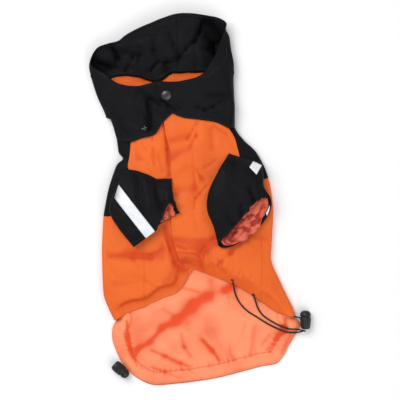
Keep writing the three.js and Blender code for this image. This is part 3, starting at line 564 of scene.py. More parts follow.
def joined(first, second, share):
    """Two lines end to end, the first taking a share of the whole."""
    return lambda t: np.where((t <= share)[..., None], first(t / share), second((t - share) / (1 - share)))


def x_at(rows, y):
    """The place across the coat of an outline at a height along it."""
    xs, ys = np.array(rows).T
    return np.interp(y, ys[::-1], xs[::-1])


def share_down(line, y):
    """The share of a side outline at which it comes down to a height."""
    t = np.linspace(0, 1, 4001)
    return float(t[np.argmax(line(t)[:, 1] <= y)]) if (line(t)[:, 1] <= y).any() else 1.0


def patch(up, down, left, right, u, v):
    """Points between four edges. up and down run across at u, left and right along at v."""
    a, b, c, d = up(0.0), up(1.0), down(0.0), down(1.0)
    across_u, along_v = u[:, None, None], v[None, :, None]
    across = up(u)[:, None] * (1 - along_v) + down(u)[:, None] * along_v
    along = left(v)[None] * (1 - across_u) + right(v)[None] * across_u
    ends = (a * (1 - across_u) + b * across_u) * (1 - along_v) + (c * (1 - across_u) + d * across_u) * along_v
    return across + along - ends


def inside_folds(x, y):
    """How far in a place on the front lies from where the nearer side fold starts."""
    return np.minimum(x - x_at(SIDE_LEFT, y), x_at(SIDE_RIGHT, y) - x) - SIDE_RADIUS


def front_height(x, y):
    """Height of the outer face of the front, rounding down to the side folds."""
    inside = np.maximum(0, inside_folds(x, y))
    share = 1 - np.exp(-inside / CROWN_REACH)
    return 2 * SIDE_RADIUS + CROWN * share + creases(FRONT_FOLDS, x, y) * np.minimum(1, inside / FOLD_FADE)


def front_relief(x, y):
    """The finer creases of the front, dying out at the side folds."""
    return creases(ALL_FRONT_CREASES, x, y) * np.clip(inside_folds(x, y) / FOLD_FADE, 0, 1)


def nearest(points, line):
    """How far points are from a line, and how far along it they are, both in millimetres."""
    dense = line(np.linspace(0, 1, NEAREST_STEPS + 1))
    _, length = shares(dense)
    away = np.linalg.norm(points[..., None, :2] - dense[None, None, :, :2], axis=-1)
    closest = away.argmin(-1)
    return away.min(-1), closest / NEAREST_STEPS * length


def waves(along, pitch, seed):
    """Uneven waves along a line, from -1 to 1."""
    random = np.random.default_rng(seed)
    knots = np.arange(-2, along.max() / pitch * 2 + 4)
    heights = random.uniform(LOWEST_WAVE, 1.0, len(knots)) * np.where(np.arange(len(knots)) % 2, 1, -1)
    places = (knots + random.uniform(-WAVE_DRIFT, WAVE_DRIFT, len(knots))) * pitch / 2
    below = np.clip(np.searchsorted(places, along) - 1, 0, len(places) - 2)
    w = smooth((along - places[below]) / (places[below + 1] - places[below]))
    return heights[below] * (1 - w) + heights[below + 1] * w


def channel(away, along, depth, seed, puff, pucker):
    """The relief of a drawcord channel: puffed to its stitched line, where the cloth is drawn in and puckered."""
    inside = np.clip(away / depth, 0, 1)
    band = puff * np.sin(np.pi * inside) ** 0.7
    line = -STITCHED_GROOVE * bell(away - depth, GROOVE_WIDTH)
    drawn = bell(away - depth, PUCKER_REACH) * waves(along, PUCKER_PITCH, seed)
    return band + line + pucker * drawn


def hem_fall(grid):
    """Lets the front's hem fall from its stitched line to lie near the lining. Gives the painted shade of the fold
    just below that line: even and strong on the left, weaker and patchy on the right.
    """
    x, y, z = (grid[..., k] for k in range(3))
    fade = np.clip(inside_folds(x, y) / HEM_FADE, 0, 1)
    on_left = smooth((HEM_MIDDLE - x) / HEM_MIDDLE_OVER)
    away, along = nearest(grid, front_hem)
    casing = FRONT_CASING + CASING_SWAY * waves(along, CASING_SWAY_PITCH, seed=23)
    past = np.clip(1 - away / casing, 0, 1)
    steep = HEM_STEEPNESS * (HEM_STEEP_RIGHT + (1 - HEM_STEEP_RIGHT) * on_left)
    fall = (1 - np.exp(-past * steep)) * (1 + np.exp(-steep) * past)
    z += (HEM_LEVEL - z) * fall * fade
    z += channel(away, along, casing, 21, FRONT_PUFF, FRONT_PUCKER) * fade
    patchy = 0.5 + waves(along, HEM_SHADE_PITCH, seed=24)
    uneven = on_left * HEM_SHADE_LEFT + (1 - on_left) * HEM_SHADE_RIGHT * patchy
    return bell(away - casing + HEM_SHADE_INSET, HEM_SHADE) * fade * np.clip(uneven, 0, 1)


def front_painted_shade(grid, shade, more=()):
    """The share of painted shade at each point of the front, from 0 to 1: from how deep in a crease it lies, or from
    the painted band below the hem, whichever is more.
    """
    depth = -creases([*FRONT_FOLDS, *FRONT_CREASES, *more], grid[..., 0], grid[..., 1]) / PAINTED_SHADE_DEPTH
    return np.clip(np.maximum(depth, shade), 0, 1)


def back_lift(x, y):
    """The hem of the back lies free below the front and lifts in soft ridges. Elsewhere the back is flat."""
    return creases(BACK_FOLDS, x, y) * np.clip((FREE_HEM_FROM - y) / FREE_HEM_OVER, 0, 1)


def raised(flat, z):
    return np.concatenate([flat, z[..., None]], -1)


def side_fold(line, outward, top, bottom):
    """A side outline between two heights, and the line inside it where the fold starts."""
    start, end = share_down(line, top), share_down(line, bottom)
    step = 0.004

    def fold(t):
        t = start + (end - start) * np.asarray(t, float)
        along = line(np.minimum(1, t + step)) - line(np.maximum(0, t - step))
        square = unit(np.stack([-along[..., 1], along[..., 0]], -1))
        square *= np.sign(square[..., :1] * outward)
        return line(t) - square * SIDE_RADIUS

    return part_of(line, start, end), fold


def round_fold(side, fold, v, angles):
    """The cloth round a side fold, from the front at angle 0 to the floor at half a turn."""
    line = fold(v)
    out = unit(side(v) - line)
    flat = line[None] + out[None] * SIDE_RADIUS * np.sin(angles)[:, None, None]
    z = np.broadcast_to(SIDE_RADIUS * (1 + np.cos(angles))[:, None], flat.shape[:2])
    return raised(flat, z)


def normals_of(grid, closed=False):
    """The way a grid of points faces, at each point."""
    if closed:
        around = np.roll(grid, -1, 0) - np.roll(grid, 1, 0)
    else:
        around = np.gradient(grid, axis=0)
    return unit(np.cross(around, np.gradient(grid, axis=1)))


def cloth_piece(name, grid, skins, out=1, has=None, closed=False, thickness=CLOTH, painted_shade=None):
    """A sheet whose outer face follows a grid of points, with its thickness inwards.

    out is 1 where the grid's own normals face out of the cloth, and -1 where they face in. skins are the outer
    material and, if it differs, the inner one. The painted-shade share of each point, from 0 to 1, goes on the mesh
    for its material to darken the colour there as painted crease shade.
    """
    wide, long = grid.shape[:2]
    spans = wide if closed else wide - 1
    present = np.ones((spans, long - 1), bool) if has is None else has
    grid = grid.copy()
    # Where the outer face looks up, the thickness goes down from it and has to stop at the table.
    under = thickness * np.clip(normals_of(grid, closed)[..., 2] * out, 0, 1)
    grid[..., 2] = np.maximum(grid[..., 2], under)
    i, j = np.nonzero(present)
    n = (i + 1) % wide
    corners = np.stack([i * long + j, n * long + j, n * long + j + 1, i * long + j + 1], 1)
    order = [0, 1, 2, 3] if out > 0 else [0, 3, 2, 1]
    faces = corners[:, order]
    used = np.zeros(wide * long, bool)
    used[faces.ravel()] = True
    index = np.cumsum(used) - 1
    made = mesh_piece(name, grid.reshape(-1, 3)[used], index[faces].tolist(), skins[:1])
    ring = np.concatenate([grid, grid[:1]]) if closed else grid
    across = np.concatenate([[0], np.cumsum(np.linalg.norm(np.diff(ring, axis=0), axis=-1).mean(1))]) * MM
    along = np.concatenate([[0], np.cumsum(np.linalg.norm(np.diff(grid, axis=1), axis=-1).mean(0))]) * MM
    us = np.stack([across[i], across[i + 1], across[i + 1], across[i]], 1)[:, order]
    vs = np.stack([along[j], along[j], along[j + 1], along[j + 1]], 1)[:, order]
    layer = made.data.uv_layers.new(name="UVMap")
    layer.data.foreach_set("uv", np.stack([us, vs], -1).ravel())
    depth = made.data.attributes.new("painted_shade", "FLOAT", "POINT")
    values = np.zeros(used.sum()) if painted_shade is None else painted_shade.reshape(-1)[used]
    depth.data.foreach_set("value", values)
    for skin in skins[1:]:
        made.data.materials.append(skin)
    wall = made.modifiers.new("wall", "SOLIDIFY")
    wall.thickness = thickness * MM
    wall.offset = -1
    wall.material_offset = len(skins) - 1
    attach(made, "root")
    return made


def tucked(grid, side, reach, drop, out=1):
    """Adds a seam allowance to one side of a grid: two more lines that run on under the neighbouring piece."""
    axis, at_end = {"first": (0, False), "last": (0, True), "top": (1, False), "bottom": (1, True)}[side]
    lines = np.moveaxis(grid, axis, 0)
    edge, inner = (lines[-1], lines[-3]) if at_end else (lines[0], lines[2])
    onward = unit(edge - inner)
    square = np.moveaxis(normals_of(grid), axis, 0)[-1 if at_end else 0] * out
    new = [edge + onward * reach * k / 2 - square * drop * share for k, share in ((1, SEAM_TURN), (2, 1))]
    lines = np.concatenate([lines, new]) if at_end else np.concatenate([new[::-1], lines])
    return np.moveaxis(lines, 0, axis)


ALL_FRONT_CREASES = FRONT_CREASES + crumple(
    7, 46, (-100, -112, 86, 88), length=(8, 22), width=(1.6, 3.2), height=(0.2, 0.55)
)
# A trough this deep takes the whole of the painted shade colour.
PAINTED_SHADE_DEPTH = 1.9
NEAREST_STEPS = 699
SEAM_TURN = 0.75
# The lowest of a run of waves, and how far one strays along the line, in half pitches.
LOWEST_WAVE = 0.35
WAVE_DRIFT = 0.28
FRONT_CASING = 12.5
FRONT_PUFF = 0.9
FRONT_PUCKER = 0.7
STITCHED_GROOVE = 0.8
GROOVE_WIDTH = 1.2
PUCKER_PITCH = 6.2
PUCKER_REACH = 6
HEM_LEVEL = 4.7
HEM_FADE = 12
# The left front's hem falls more steeply than the right's. One passes into the other here.
HEM_MIDDLE = -6
HEM_MIDDLE_OVER = 18
HEM_STEEPNESS = 3.4
HEM_STEEP_RIGHT = 0.4
# A band of painted shade just below the hem's stitched line: how far below it, how wide, how strong on the left and
# on the right, and the pitch of its patches on the right.
HEM_SHADE_INSET = 1.6
HEM_SHADE = 2.0
HEM_SHADE_LEFT = 0.85
HEM_SHADE_RIGHT = 0.4
HEM_SHADE_PITCH = 30
CASING_SWAY = 1.8
CASING_SWAY_PITCH = 38
HEM_LEFT = [(-55.5, -119), (-35.2, -109.2), (-21, -103.5), (-11, -92), (-6.8, -83), (-2, -76.6), (9.6, -79)]
HEM_RIGHT = [(-9.4, -77), (-5.5, -75.6), (5.5, -78.9), (26.4, -87.2), (42.4, -93.8), (57, -102), (72.6, -112.6)]
THREAD_PITCH = 0.8
# Blotches about 40 mm apart, and dents about 13 mm apart.
BLOTCH_SCALE = 26.0
DENT_SCALE = 75.0
SHELL_ORANGE = "EE6A22"
# The darker orange painted into the creases as shade.
SHELL_ORANGE_PAINTED_SHADE = "D84A10"


def woven_cloth(name, colour, deep, roughness, gloss, sheen, crinkle, mottle=0.3):
    """Plain woven cloth. The yarns are drawn three times as coarse as real ones, so that they show close up.

    colour is its own colour, as it looks lit. deep is painted shade: the darker colour that it is mixed towards
    where crease shade is painted in, and that random blotches up to mottle also drift towards. crinkle is the depth
    in millimetres of the small dents that thin proofed cloth takes.
    """
    made, tree, shader = material(name)
    place = node(tree, "ShaderNodeTexCoord").outputs["Object"]
    uv = node(tree, "ShaderNodeUVMap", uv_map="UVMap").outputs["UV"]
    blotches = node(tree, "ShaderNodeTexNoise", {"Vector": place, "Scale": BLOTCH_SCALE, "Detail": 3.0})
    # The point attribute read here is painted crease shade. With the random blotches, it mixes the lit colour
    # towards the painted shade colour.
    depth = node(tree, "ShaderNodeAttribute", attribute_name="painted_shade")
    patchy = node(
        tree, "ShaderNodeMapRange",
        {"Value": blotches.outputs["Fac"], "From Min": 0.45, "From Max": 0.75, "To Min": 0.0, "To Max": mottle},
    )  # fmt: skip
    share = node(
        tree, "ShaderNodeMath", {0: depth.outputs["Fac"], 1: patchy.outputs["Result"]},
        operation="ADD", use_clamp=True,
    )  # fmt: skip
    tint = node(
        tree, "ShaderNodeMix", {"Factor": share.outputs[0], "A": linear(colour), "B": linear(deep)},
        data_type="RGBA",
    )  # fmt: skip
    dents = node(
        tree, "ShaderNodeTexNoise", {"Vector": place, "Scale": DENT_SCALE, "Detail": 4.0, "Roughness": 0.5}
    )
    soft = node(
        tree, "ShaderNodeBump", {"Strength": 1.0, "Distance": crinkle * MM, "Height": dents.outputs["Fac"]}
    )
    scale = 2 * math.pi / (20 * THREAD_PITCH * MM)
    warp, weft = (
        node(tree, "ShaderNodeTexWave", {"Vector": uv, "Scale": scale}, wave_type="BANDS", bands_direction=way)
        for way in "XY"
    )
    yarns = node(tree, "ShaderNodeMath", {0: warp.outputs["Fac"], 1: weft.outputs["Fac"]}, operation="MAXIMUM")
    relief = node(
        tree, "ShaderNodeBump",
        {"Strength": 0.5, "Distance": 0.00008, "Height": yarns.outputs[0], "Normal": soft.outputs["Normal"]},
    )  # fmt: skip
    feed(
        tree, shader,
        {
            "Base Color": tint.outputs["Result"], "Normal": relief.outputs["Normal"], "Roughness": roughness,
            "Specular IOR Level": gloss, "Sheen Weight": sheen, "Sheen Roughness": 0.4,
        },
    )  # fmt: skip
    return made


LINING_CORAL = "FF9468"
# The darker coral painted into the lining's creases as shade.
LINING_CORAL_PAINTED_SHADE = "EA4A12"
orange_polyester = woven_cloth(
    "orange_proofed_polyester", SHELL_ORANGE, SHELL_ORANGE_PAINTED_SHADE, roughness=0.6, gloss=0.3, sheen=0.03, crinkle=1.4
)
coral_taffeta = woven_cloth(
    "coral_lining_taffeta", LINING_CORAL, LINING_CORAL_PAINTED_SHADE, roughness=0.5, gloss=0.35, sheen=0.05, crinkle=1.6,
    mottle=0.45,
)  # fmt: skip


def wrapped(left, right, top_left, top_right, floor, spans, rows, stop):
    """Lines of points from the front's left edge, round under the coat, to the front's right edge.

    The front and side lines stop at row stop. The floor goes on to the last row. Returns the grid, which of its
    cells are there, and where its floor lines are.
    """
    v = np.minimum(1, np.arange(rows + 1) / stop)
    turn = np.linspace(0, np.pi, spans["fold"] + 1)
    across = np.linspace(0, 1, spans["floor"] + 1)
    parts = [
        top_left(np.linspace(0, 1, spans["left"] + 1), v)[:-1],
        round_fold(*left, v, turn[:-1]),
        floor(across, np.arange(rows + 1) / rows),
        round_fold(*right, v, turn[-2:0:-1]),
        top_right(np.linspace(0, 1, spans["right"] + 1), v),
    ]
    grid = np.concatenate(parts)
    start = len(parts[0]) + len(parts[1])
    floor_lines = slice(start, start + len(across))
    has = np.ones((len(grid) - 1, rows), bool)
    has[: floor_lines.start, stop:] = False
    has[floor_lines.stop - 1 :, stop:] = False
    return grid, has, floor_lines


def cloth_patch(up, down, left, right, height):
    """A patch of cloth: the flat shape between its edges, raised to a height that depends on the place."""

    def surface(u, v):
        flat = patch(up, down, left, right, u, v)
        return raised(flat, height(flat[..., 0], flat[..., 1]))

    return surface


def front_patch(up, down, left, right):
    """A patch of the front, at the front's height and with its creases."""
    return cloth_patch(up, down, left, right, lambda x, y: front_height(x, y) + front_relief(x, y))


BACK_SPANS = {"left": 50, "fold": 10, "floor": 150, "right": 26}
BACK_ROWS = 160
BACK_STOP = 112
BACK_SHARE = BACK_STOP / BACK_ROWS
side_left, side_right = run(SIDE_LEFT), run(SIDE_RIGHT)
back_left = side_fold(side_left, -1, YOKE_SEAM_LEFT, SIDE_LEFT[-1][1])
back_right = side_fold(side_right, 1, YOKE_SEAM_RIGHT, SIDE_RIGHT[-1][1])
back_edge_left, back_edge_right = run(BACK_EDGE_LEFT), run(BACK_EDGE_RIGHT)
flank_left = run([back_left[1](1.0), *FLANK_LEFT, HEM_BACK[0]])
flank_right = run([back_right[1](1.0), *FLANK_RIGHT, HEM_BACK[-1]])
hem_back = run(HEM_BACK)
front_hem = run([
    back_left[1](1.0), HEM_SIDE_LEFT, *HEM_LEFT[:-2], *HEM_RIGHT[1:], HEM_SIDE_RIGHT, back_right[1](1.0),
])  # fmt: skip

back_grid, back_has, floor_lines = wrapped(
    back_left,
    back_right,
    front_patch(
        straight(back_edge_left(0.0), back_left[1](0.0)),
        run([back_edge_left(1.0), HEM_SIDE_LEFT, back_left[1](1.0)]),
        back_edge_left,
        back_left[1],
    ),
    front_patch(
        straight(back_right[1](0.0), back_edge_right(0.0)),
        run([back_right[1](1.0), HEM_SIDE_RIGHT, back_edge_right(1.0)]),
        back_right[1],
        back_edge_right,
    ),
    cloth_patch(
        straight(back_left[1](0.0), back_right[1](0.0)),
        hem_back,
        joined(back_left[1], flank_left, BACK_SHARE),
        joined(back_right[1], flank_right, BACK_SHARE),
        back_lift,
    ),
    BACK_SPANS,
    BACK_ROWS,
    BACK_STOP,
)
# Painted crease shade on the flanks, as on the front, with the painted band below their hem. The floor has none.
back_painted_shade = np.zeros(back_grid.shape[:2])
for flank in (slice(0, BACK_SPANS["left"]), slice(-BACK_SPANS["right"] - 1, None)):
    part = back_grid[flank, : BACK_STOP + 1].copy()
    back_painted_shade[flank, : BACK_STOP + 1] = front_painted_shade(part, hem_fall(part))
    back_grid[flank, : BACK_STOP + 1] = part
sewn_grid = back_grid
for side in ("first", "last"):
    sewn_grid = tucked(sewn_grid, side, reach=4, drop=SEAM_DROP)
sewn_has = np.concatenate([back_has[:1]] * 2 + [back_has] + [back_has[-1:]] * 2)
back_painted_shade = np.pad(back_painted_shade, ((2, 2), (0, 0)), "edge")
back_shell = cloth_piece("back_shell", sewn_grid, [orange_polyester], has=sewn_has, painted_shade=back_painted_shade)
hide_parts("back_panel")

# ---- Back lining ----
# Thin coral taffeta on the inside of the back, sewn to it along the hem. The hem is a channel for the drawcord:
# a puffed band closed by a stitched line, with the cloth puckered along it.
LINING = 0.6
LINING_RISE = 1.6
CASING = 14.5
CASING_PUFF = 1.2
CASING_PUCKER = 1.1
LINING_HEM_INSET = 1.3
LINING_CLEAR = 0.1
# The share of a grid step by which its two sides draw in, and how far in from the hem it has risen.
LINING_SIDE_IN = 0.22
LINING_EDGE_OVER = 4
# It is creased only where it shows, below the front's hem.
LINING_SEEN_BELOW = -60
LINING_SEEN_OVER = 20
# The share of painted shade for each millimetre that the casing is drawn in.
CASING_SHADE = 0.36
PUCKER_SWAY_PITCH = 70
LINING_CREASES = [
    (12, -107, -2, -117, 6.5, -2.2, 1.7),
    (-2, -117, -20, -134, 5.6, -2.3, 1.6),
    (-20, -134, -36, -142, 4.6, -2.2, 1.5),
    (-36, -142, -50, -158, 2.6, -2.2, 1.4),
    (-50, -158, -65, -166, 2.2, -2.2, 1.3),
    (-61, -163, -66, -173, 2.0, -1.8, 1.3),
    (11, -109, 38, -99, 5.0, -1.0, 1.8),
    (34, -100, 44, -93, 4.5, -1.8, 1.6),
    (18, -90, 19, -112, 4.5, -0.8, 1.8),
    (-48, -167, -33, -173, 1.8, -1.4, 1.3),
    (-33, -173, -16, -181, 3.0, -1.7, 1.4),
    (-16, -181, -5, -184, 1.6, -1.1, 1.3),
    (8, -155, 19, -167, 2.8, -1.8, 1.4),
    (19, -167, 27, -178, 1.8, -1.5, 1.3),
    (-15, -149, -12, -163, 2.0, -1.0, 1.4),
    (-12, -163, -5, -173, 2.2, -1.1, 1.4),
    (-9, -150, -3, -166, 3.0, 0.8, 1.6),
    (-8, -138, -7, -160, 4.0, -0.5, 2),
    (20, -144, 30, -160, 5.0, -0.6, 2),
    (32, -116, 40, -150, 14.0, 1.2, 2),
    (56, -138, 47, -160, 3.2, -0.9, 1.5),
    (60, -138, 57, -164, 3.0, 0.9, 1.6),
    (66, -141, 62, -170, 3.2, -0.9, 1.6),
    (82, -149, 75, -160, 1.6, -0.8, 1.3),
    (99, -143, 91, -153, 3.6, -1.7, 1.5),
    (91, -153, 83, -164, 2.4, -1.2, 1.4),
    (101, -131, 98, -146, 3.4, -2.2, 1.5),
    (106, -148, 97, -168, 3.2, -1.5, 1.5),
    (-49, -185, -33, -191, 2.0, -1.4, 1.4),
    (-33, -191, -17, -198, 2.0, -1.4, 1.4),
    (-15, -187, -4, -198, 1.6, -1.0, 1.3),
    (-6, -189, 7, -198, 1.8, -1.2, 1.3),
    (80, -165, 88, -174, 1.6, -1.0, 1.3),
    (-35, -121, -22, -130, 2.4, -0.8, 1.4),
    (-12, -98, 4, -102, 1.8, -1.0, 1.4),
    (-66, -138, -58, -158, 12.0, -0.7, 2),
    (-30, -150, -26, -164, 6.0, 0.9, 1.8),
    (-38, -164, -14, -172, 3.0, 0.9, 1.6),
    (8, -142, 14, -152, 6.0, 0.9, 1.8),
    (-76, -150, -70, -176, 2.2, -1.0, 1.4),
    (38, -160, 40, -176, 2.4, -1.0, 1.4),
    (44, -164, 50, -176, 2.0, 0.8, 1.4),
    (-60, -185, -58, -196, 2.0, -0.9, 1.4),
    (-50, -182, -46, -194, 1.8, 0.8, 1.4),
    (16, -182, 24, -192, 1.8, -0.8, 1.3),
    (-75.5, -134, -74, -152, 1.7, -1.7, 1.4),
    (-74, -152, -71.5, -166, 1.7, -1.9, 1.4),
    (-71.5, -166, -64, -184, 1.7, -1.5, 1.4),
]
ALL_LINING_CREASES = LINING_CREASES + crumple(
    11, 40, (-86, -196, 104, -90), length=(6, 18), width=(1.6, 3.0), height=(0.2, 0.6)
)

hem_line = run([back_left[1](1.0), *FLANK_LEFT, *HEM_BACK, *FLANK_RIGHT[::-1], back_right[1](1.0)], steps=900)
lining_grid = back_grid[floor_lines].copy()
for edge, inner in ((0, 1), (-1, -2)):
    shifted = LINING_SIDE_IN * lining_grid[inner, :, :2]
    lining_grid[edge, :, :2] = (1 - LINING_SIDE_IN) * lining_grid[edge, :, :2] + shifted
hem_away, hem_along = nearest(lining_grid, hem_line)
seen = np.clip((LINING_SEEN_BELOW - lining_grid[..., 1]) / LINING_SEEN_OVER, 0, 1)
pucker = CASING_PUCKER * (0.55 + 0.45 * waves(hem_along, PUCKER_SWAY_PITCH, seed=9))
drawn = channel(hem_away, hem_along, CASING, 3, CASING_PUFF, pucker)
lining_relief = seen * (creases(ALL_LINING_CREASES, lining_grid[..., 0], lining_grid[..., 1]) + drawn)
at_edge = np.clip(hem_away / LINING_EDGE_OVER, 0, 1)
lining_rise = at_edge * (LINING_RISE + np.maximum(lining_relief, -LINING_RISE))
lining_grid[..., 2] += CLOTH + LINING + LINING_CLEAR + lining_rise
# Painted shade: darker down in the lining's creases and in the casing's stitched groove and puckers, lighter on its
# puffed band, and only where the lining shows.
lining_painted_shade = -creases(LINING_CREASES, lining_grid[..., 0], lining_grid[..., 1]) / PAINTED_SHADE_DEPTH
lining_painted_shade = np.clip((lining_painted_shade - CASING_SHADE * drawn) * seen, 0, 1)
lining_grid[:, -1, :2] += unit(lining_grid[:, -2, :2] - lining_grid[:, -1, :2]) * LINING_HEM_INSET
lining = cloth_piece(
    "back_lining_taffeta", lining_grid, [coral_taffeta], out=-1, thickness=LINING, painted_shade=lining_painted_shade
)
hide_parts("back_lining")

# ---- Yoke ----
# Black woven polyester over the shoulders, in one with the back of the neck. It shows beside both armholes, and
# its orange lining shows through the hood's mouth.
NECK_LEFT = 66
NECK_RIGHT = 80
SHELL_BLACK = "18181B"
# The near-black painted into the creases as shade.
SHELL_BLACK_PAINTED_SHADE = "060608"
YOKE_EDGE_LEFT = [(-70.8, 66), (-71.9, 49), (-74, 33), (-76.5, 14), (-73, -14)]
YOKE_EDGE_RIGHT = [(38, 79.6), (44.2, 68), (47, 58), (50, 45), (62, 33), (67, 21)]
YOKE_SPANS = {"left": 16, "fold": 8, "floor": 40, "right": 14}
YOKE_ROWS = 46
SLIT_TOP = [
    (-95, 133.5), (-86, 136.6), (-74, 137.6), (-62, 136), (-52, 132.4), (-43, 130), (-36, 132.6), (-29, 138),
    (-24, 140.6), (-5, 141), (13, 141), (24, 138),
]  # fmt: skip
YOKE_LINING_LEFT = [(-95, 133.5), (-80, 100), (-77, 60), (-86, 20), (-94, -16)]
YOKE_LINING_RIGHT = [(24, 138), (28, 100), (32, 76), (58, 48), (74.5, 24.5)]
# A short fold at the left of the neck draws the side in.
WAIST_Y = 45.5
WAIST_WIDTH = 4
WAIST_IN = 5.5
WAIST_LEFT_OF = -68
WAIST_OVER = 12
YOKE_LINING_FACE = 2.8
# It rises from below the slit in the hood, and lies low again towards the neck.
YOKE_LINING_RISE = 5
SLIT_BELOW = 1
SLIT_OVER = 5
NECK_LINING_Y = 84
NECK_LINING_OVER = 16

black_polyester = woven_cloth(
    "black_proofed_polyester", SHELL_BLACK, SHELL_BLACK_PAINTED_SHADE, roughness=0.5, gloss=0.06, sheen=0, crinkle=1.8
)
yoke_left = side_fold(side_left, -1, NECK_LEFT, YOKE_SEAM_LEFT)
yoke_right = side_fold(side_right, 1, NECK_RIGHT, YOKE_SEAM_RIGHT)
yoke_edge_left, yoke_edge_right = run(YOKE_EDGE_LEFT), run(YOKE_EDGE_RIGHT)

yoke_grid, _, _ = wrapped(
    yoke_left,
    yoke_right,
    front_patch(
        straight(yoke_edge_left(0.0), yoke_left[1](0.0)),
        straight(yoke_edge_left(1.0), yoke_left[1](1.0)),
        yoke_edge_left,
        yoke_left[1],
    ),
    front_patch(
        straight(yoke_right[1](0.0), yoke_edge_right(0.0)),
        straight(yoke_right[1](1.0), yoke_edge_right(1.0)),
        yoke_right[1],
        yoke_edge_right,
    ),
    cloth_patch(
        straight(yoke_left[1](0.0), yoke_right[1](0.0)),
        straight(yoke_left[1](1.0), yoke_right[1](1.0)),
        yoke_left[1],
        yoke_right[1],
        lambda x, y: np.zeros(x.shape),
    ),
    YOKE_SPANS,
    YOKE_ROWS,
    YOKE_ROWS,
)
for side in ("first", "last", "top", "bottom"):
    yoke_grid = tucked(yoke_grid, side, reach=3, drop=SEAM_DROP)
at_waist = bell(yoke_grid[..., 1] - WAIST_Y, WAIST_WIDTH)
yoke_grid[..., 0] += WAIST_IN * at_waist * np.clip((WAIST_LEFT_OF - yoke_grid[..., 0]) / WAIST_OVER, 0, 1)
yoke_grid[..., 2] = np.maximum(yoke_grid[..., 2], 0)
yoke = cloth_piece("yoke_shell", yoke_grid, [black_polyester])
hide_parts("yoke")

yoke_lining_flat = patch(
    run(SLIT_TOP),
    straight(np.array(YOKE_LINING_LEFT[-1]), np.array(YOKE_LINING_RIGHT[-1])),
    run(YOKE_LINING_LEFT),
    run(YOKE_LINING_RIGHT),
    np.linspace(0, 1, 90),
    np.linspace(0, 1, 120) ** 1.4,
)
slit_creases = crumple(5, 26, (-86, 84, 24, 140), length=(8, 20), width=(2, 4), height=(0.2, 0.7))
lining_x, lining_y = yoke_lining_flat[..., 0], yoke_lining_flat[..., 1]
below_slit = np.interp(lining_x, *np.array(SLIT_TOP).T) - lining_y
slit_lift = np.maximum(creases(slit_creases, lining_x, lining_y), -1)
clear_of_slit = np.clip((below_slit - SLIT_BELOW) / SLIT_OVER, 0, 1)
clear_of_neck = np.clip((lining_y - NECK_LINING_Y) / NECK_LINING_OVER, 0, 1)
slit_lift += YOKE_LINING_RISE * clear_of_slit * clear_of_neck
yoke_lining_grid = raised(yoke_lining_flat, YOKE_LINING_FACE + slit_lift)
yoke_lining = cloth_piece("yoke_lining_cloth", yoke_lining_grid, [orange_polyester], out=-1, thickness=LINING)
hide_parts("yoke_lining")

# ---- Front ----
# Two orange panels. The right one laps over the left from the neck to the hem, and is closed underneath by
# touch tape. The hem is turned in over the drawcord's channel, like the back's.
LAP_STEP = 2.55
LAP_UNDER = 19
# The step of the lap dies out towards the right side seam, below the sleeve.
LAP_FADE_FROM = 0.4
LAP_FADE_BELOW = -8
LAP_FADE_OVER = 32
NECK_FRONT = [
    (-70.4, 66), (-58.3, 70.5), (-46.2, 76.5), (-33, 91.5), (-25.3, 99), (-16.5, 95), (0, 92.5), (16.5, 90.5),
    (29.7, 86.5), (37.4, 78.6),
]  # fmt: skip
SEAM_LEFT = [
    (-70.4, 66), (-72, 49), (-73.6, 35), (-66, 26), (-48, 20), (-34, 16), (-36, 6), (-57, 0), (-66, -9),
    (-62, -28), (-57.5, -48), (-56.7, -75), (-56.7, -100), (-55.5, -119),
]  # fmt: skip
LAP_EDGE = [
    (-34.6, 90), (-31.9, 71), (-27.5, 54.7), (-26.4, 38), (-25.9, 24), (-25.3, 8), (-26.4, -6), (-26.4, -20),
    (-24.2, -44), (-19.8, -57.5), (-15.4, -68.5), (-9.4, -77),
]  # fmt: skip
SEAM_RIGHT = [
    (37.4, 78.6), (43.6, 68), (46.4, 58), (49, 46), (47, 34), (47, 14), (54, 3), (66, -6), (71, -22),
    (73.2, -50), (74.4, -72), (73.4, -97), (72.6, -112.6),
]  # fmt: skip
FRONT_ROWS = 200
FRONT_LEFT_SPANS = 110
FRONT_RIGHT_SPANS = 140

neck = run(NECK_FRONT)
neck_places = np.linspace(0, 1, 2001)
neck_across = neck(neck_places)[:, 0]
lap_top = float(np.interp(LAP_EDGE[0][0], neck_across, neck_places))
under_top = float(np.interp(LAP_EDGE[0][0] + LAP_UNDER, neck_across, neck_places))
lap_edge = run([neck(lap_top), *LAP_EDGE[1:]])
under_edge = run([neck(under_top), *[(x + LAP_UNDER, y) for x, y in LAP_EDGE[1:-1]], HEM_LEFT[-1]])


def front_piece(side, up, down, left, right, lift, spans, more=()):
    """One front panel between its edges. lift is its step over the other, and more its own creases."""
    u = np.linspace(0, 1, spans + 1)
    grid = front_patch(up, down, left, right)(u, np.linspace(0, 1, FRONT_ROWS + 1))
    to_seam = smooth((u - LAP_FADE_FROM) / (1 - LAP_FADE_FROM))[:, None]
    grid[..., 2] += lift * (1 - to_seam * smooth((LAP_FADE_BELOW - grid[..., 1]) / LAP_FADE_OVER))
    grid[..., 2] += creases(more, grid[..., 0], grid[..., 1])
    painted_shade = front_painted_shade(grid, hem_fall(grid), more)
    made = cloth_piece(f"front_{side}_shell", grid, [orange_polyester, coral_taffeta], out=-1, painted_shade=painted_shade)
    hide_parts(f"front_{side}")
    return made, grid


front_left, front_left_grid = front_piece(
    "left", part_of(neck, 0, under_top), run(HEM_LEFT), run(SEAM_LEFT), under_edge, 0, FRONT_LEFT_SPANS, LAP_HOLLOWS
)
front_right, front_right_grid = front_piece(
    "right", part_of(neck, lap_top, 1), run(HEM_RIGHT), lap_edge, run(SEAM_RIGHT), LAP_STEP, FRONT_RIGHT_SPANS
)

# ---- Hood ----
# Black polyester in two halves, joined by a seam down the middle of the back, and sewn to the neckline. The face
# opening is turned in over a soft roll, and stands open. The right corner laps over the left at the throat.
SECTION = "on nx ny nz mx my mz tx ty tz rx ry rz lx ly lz"
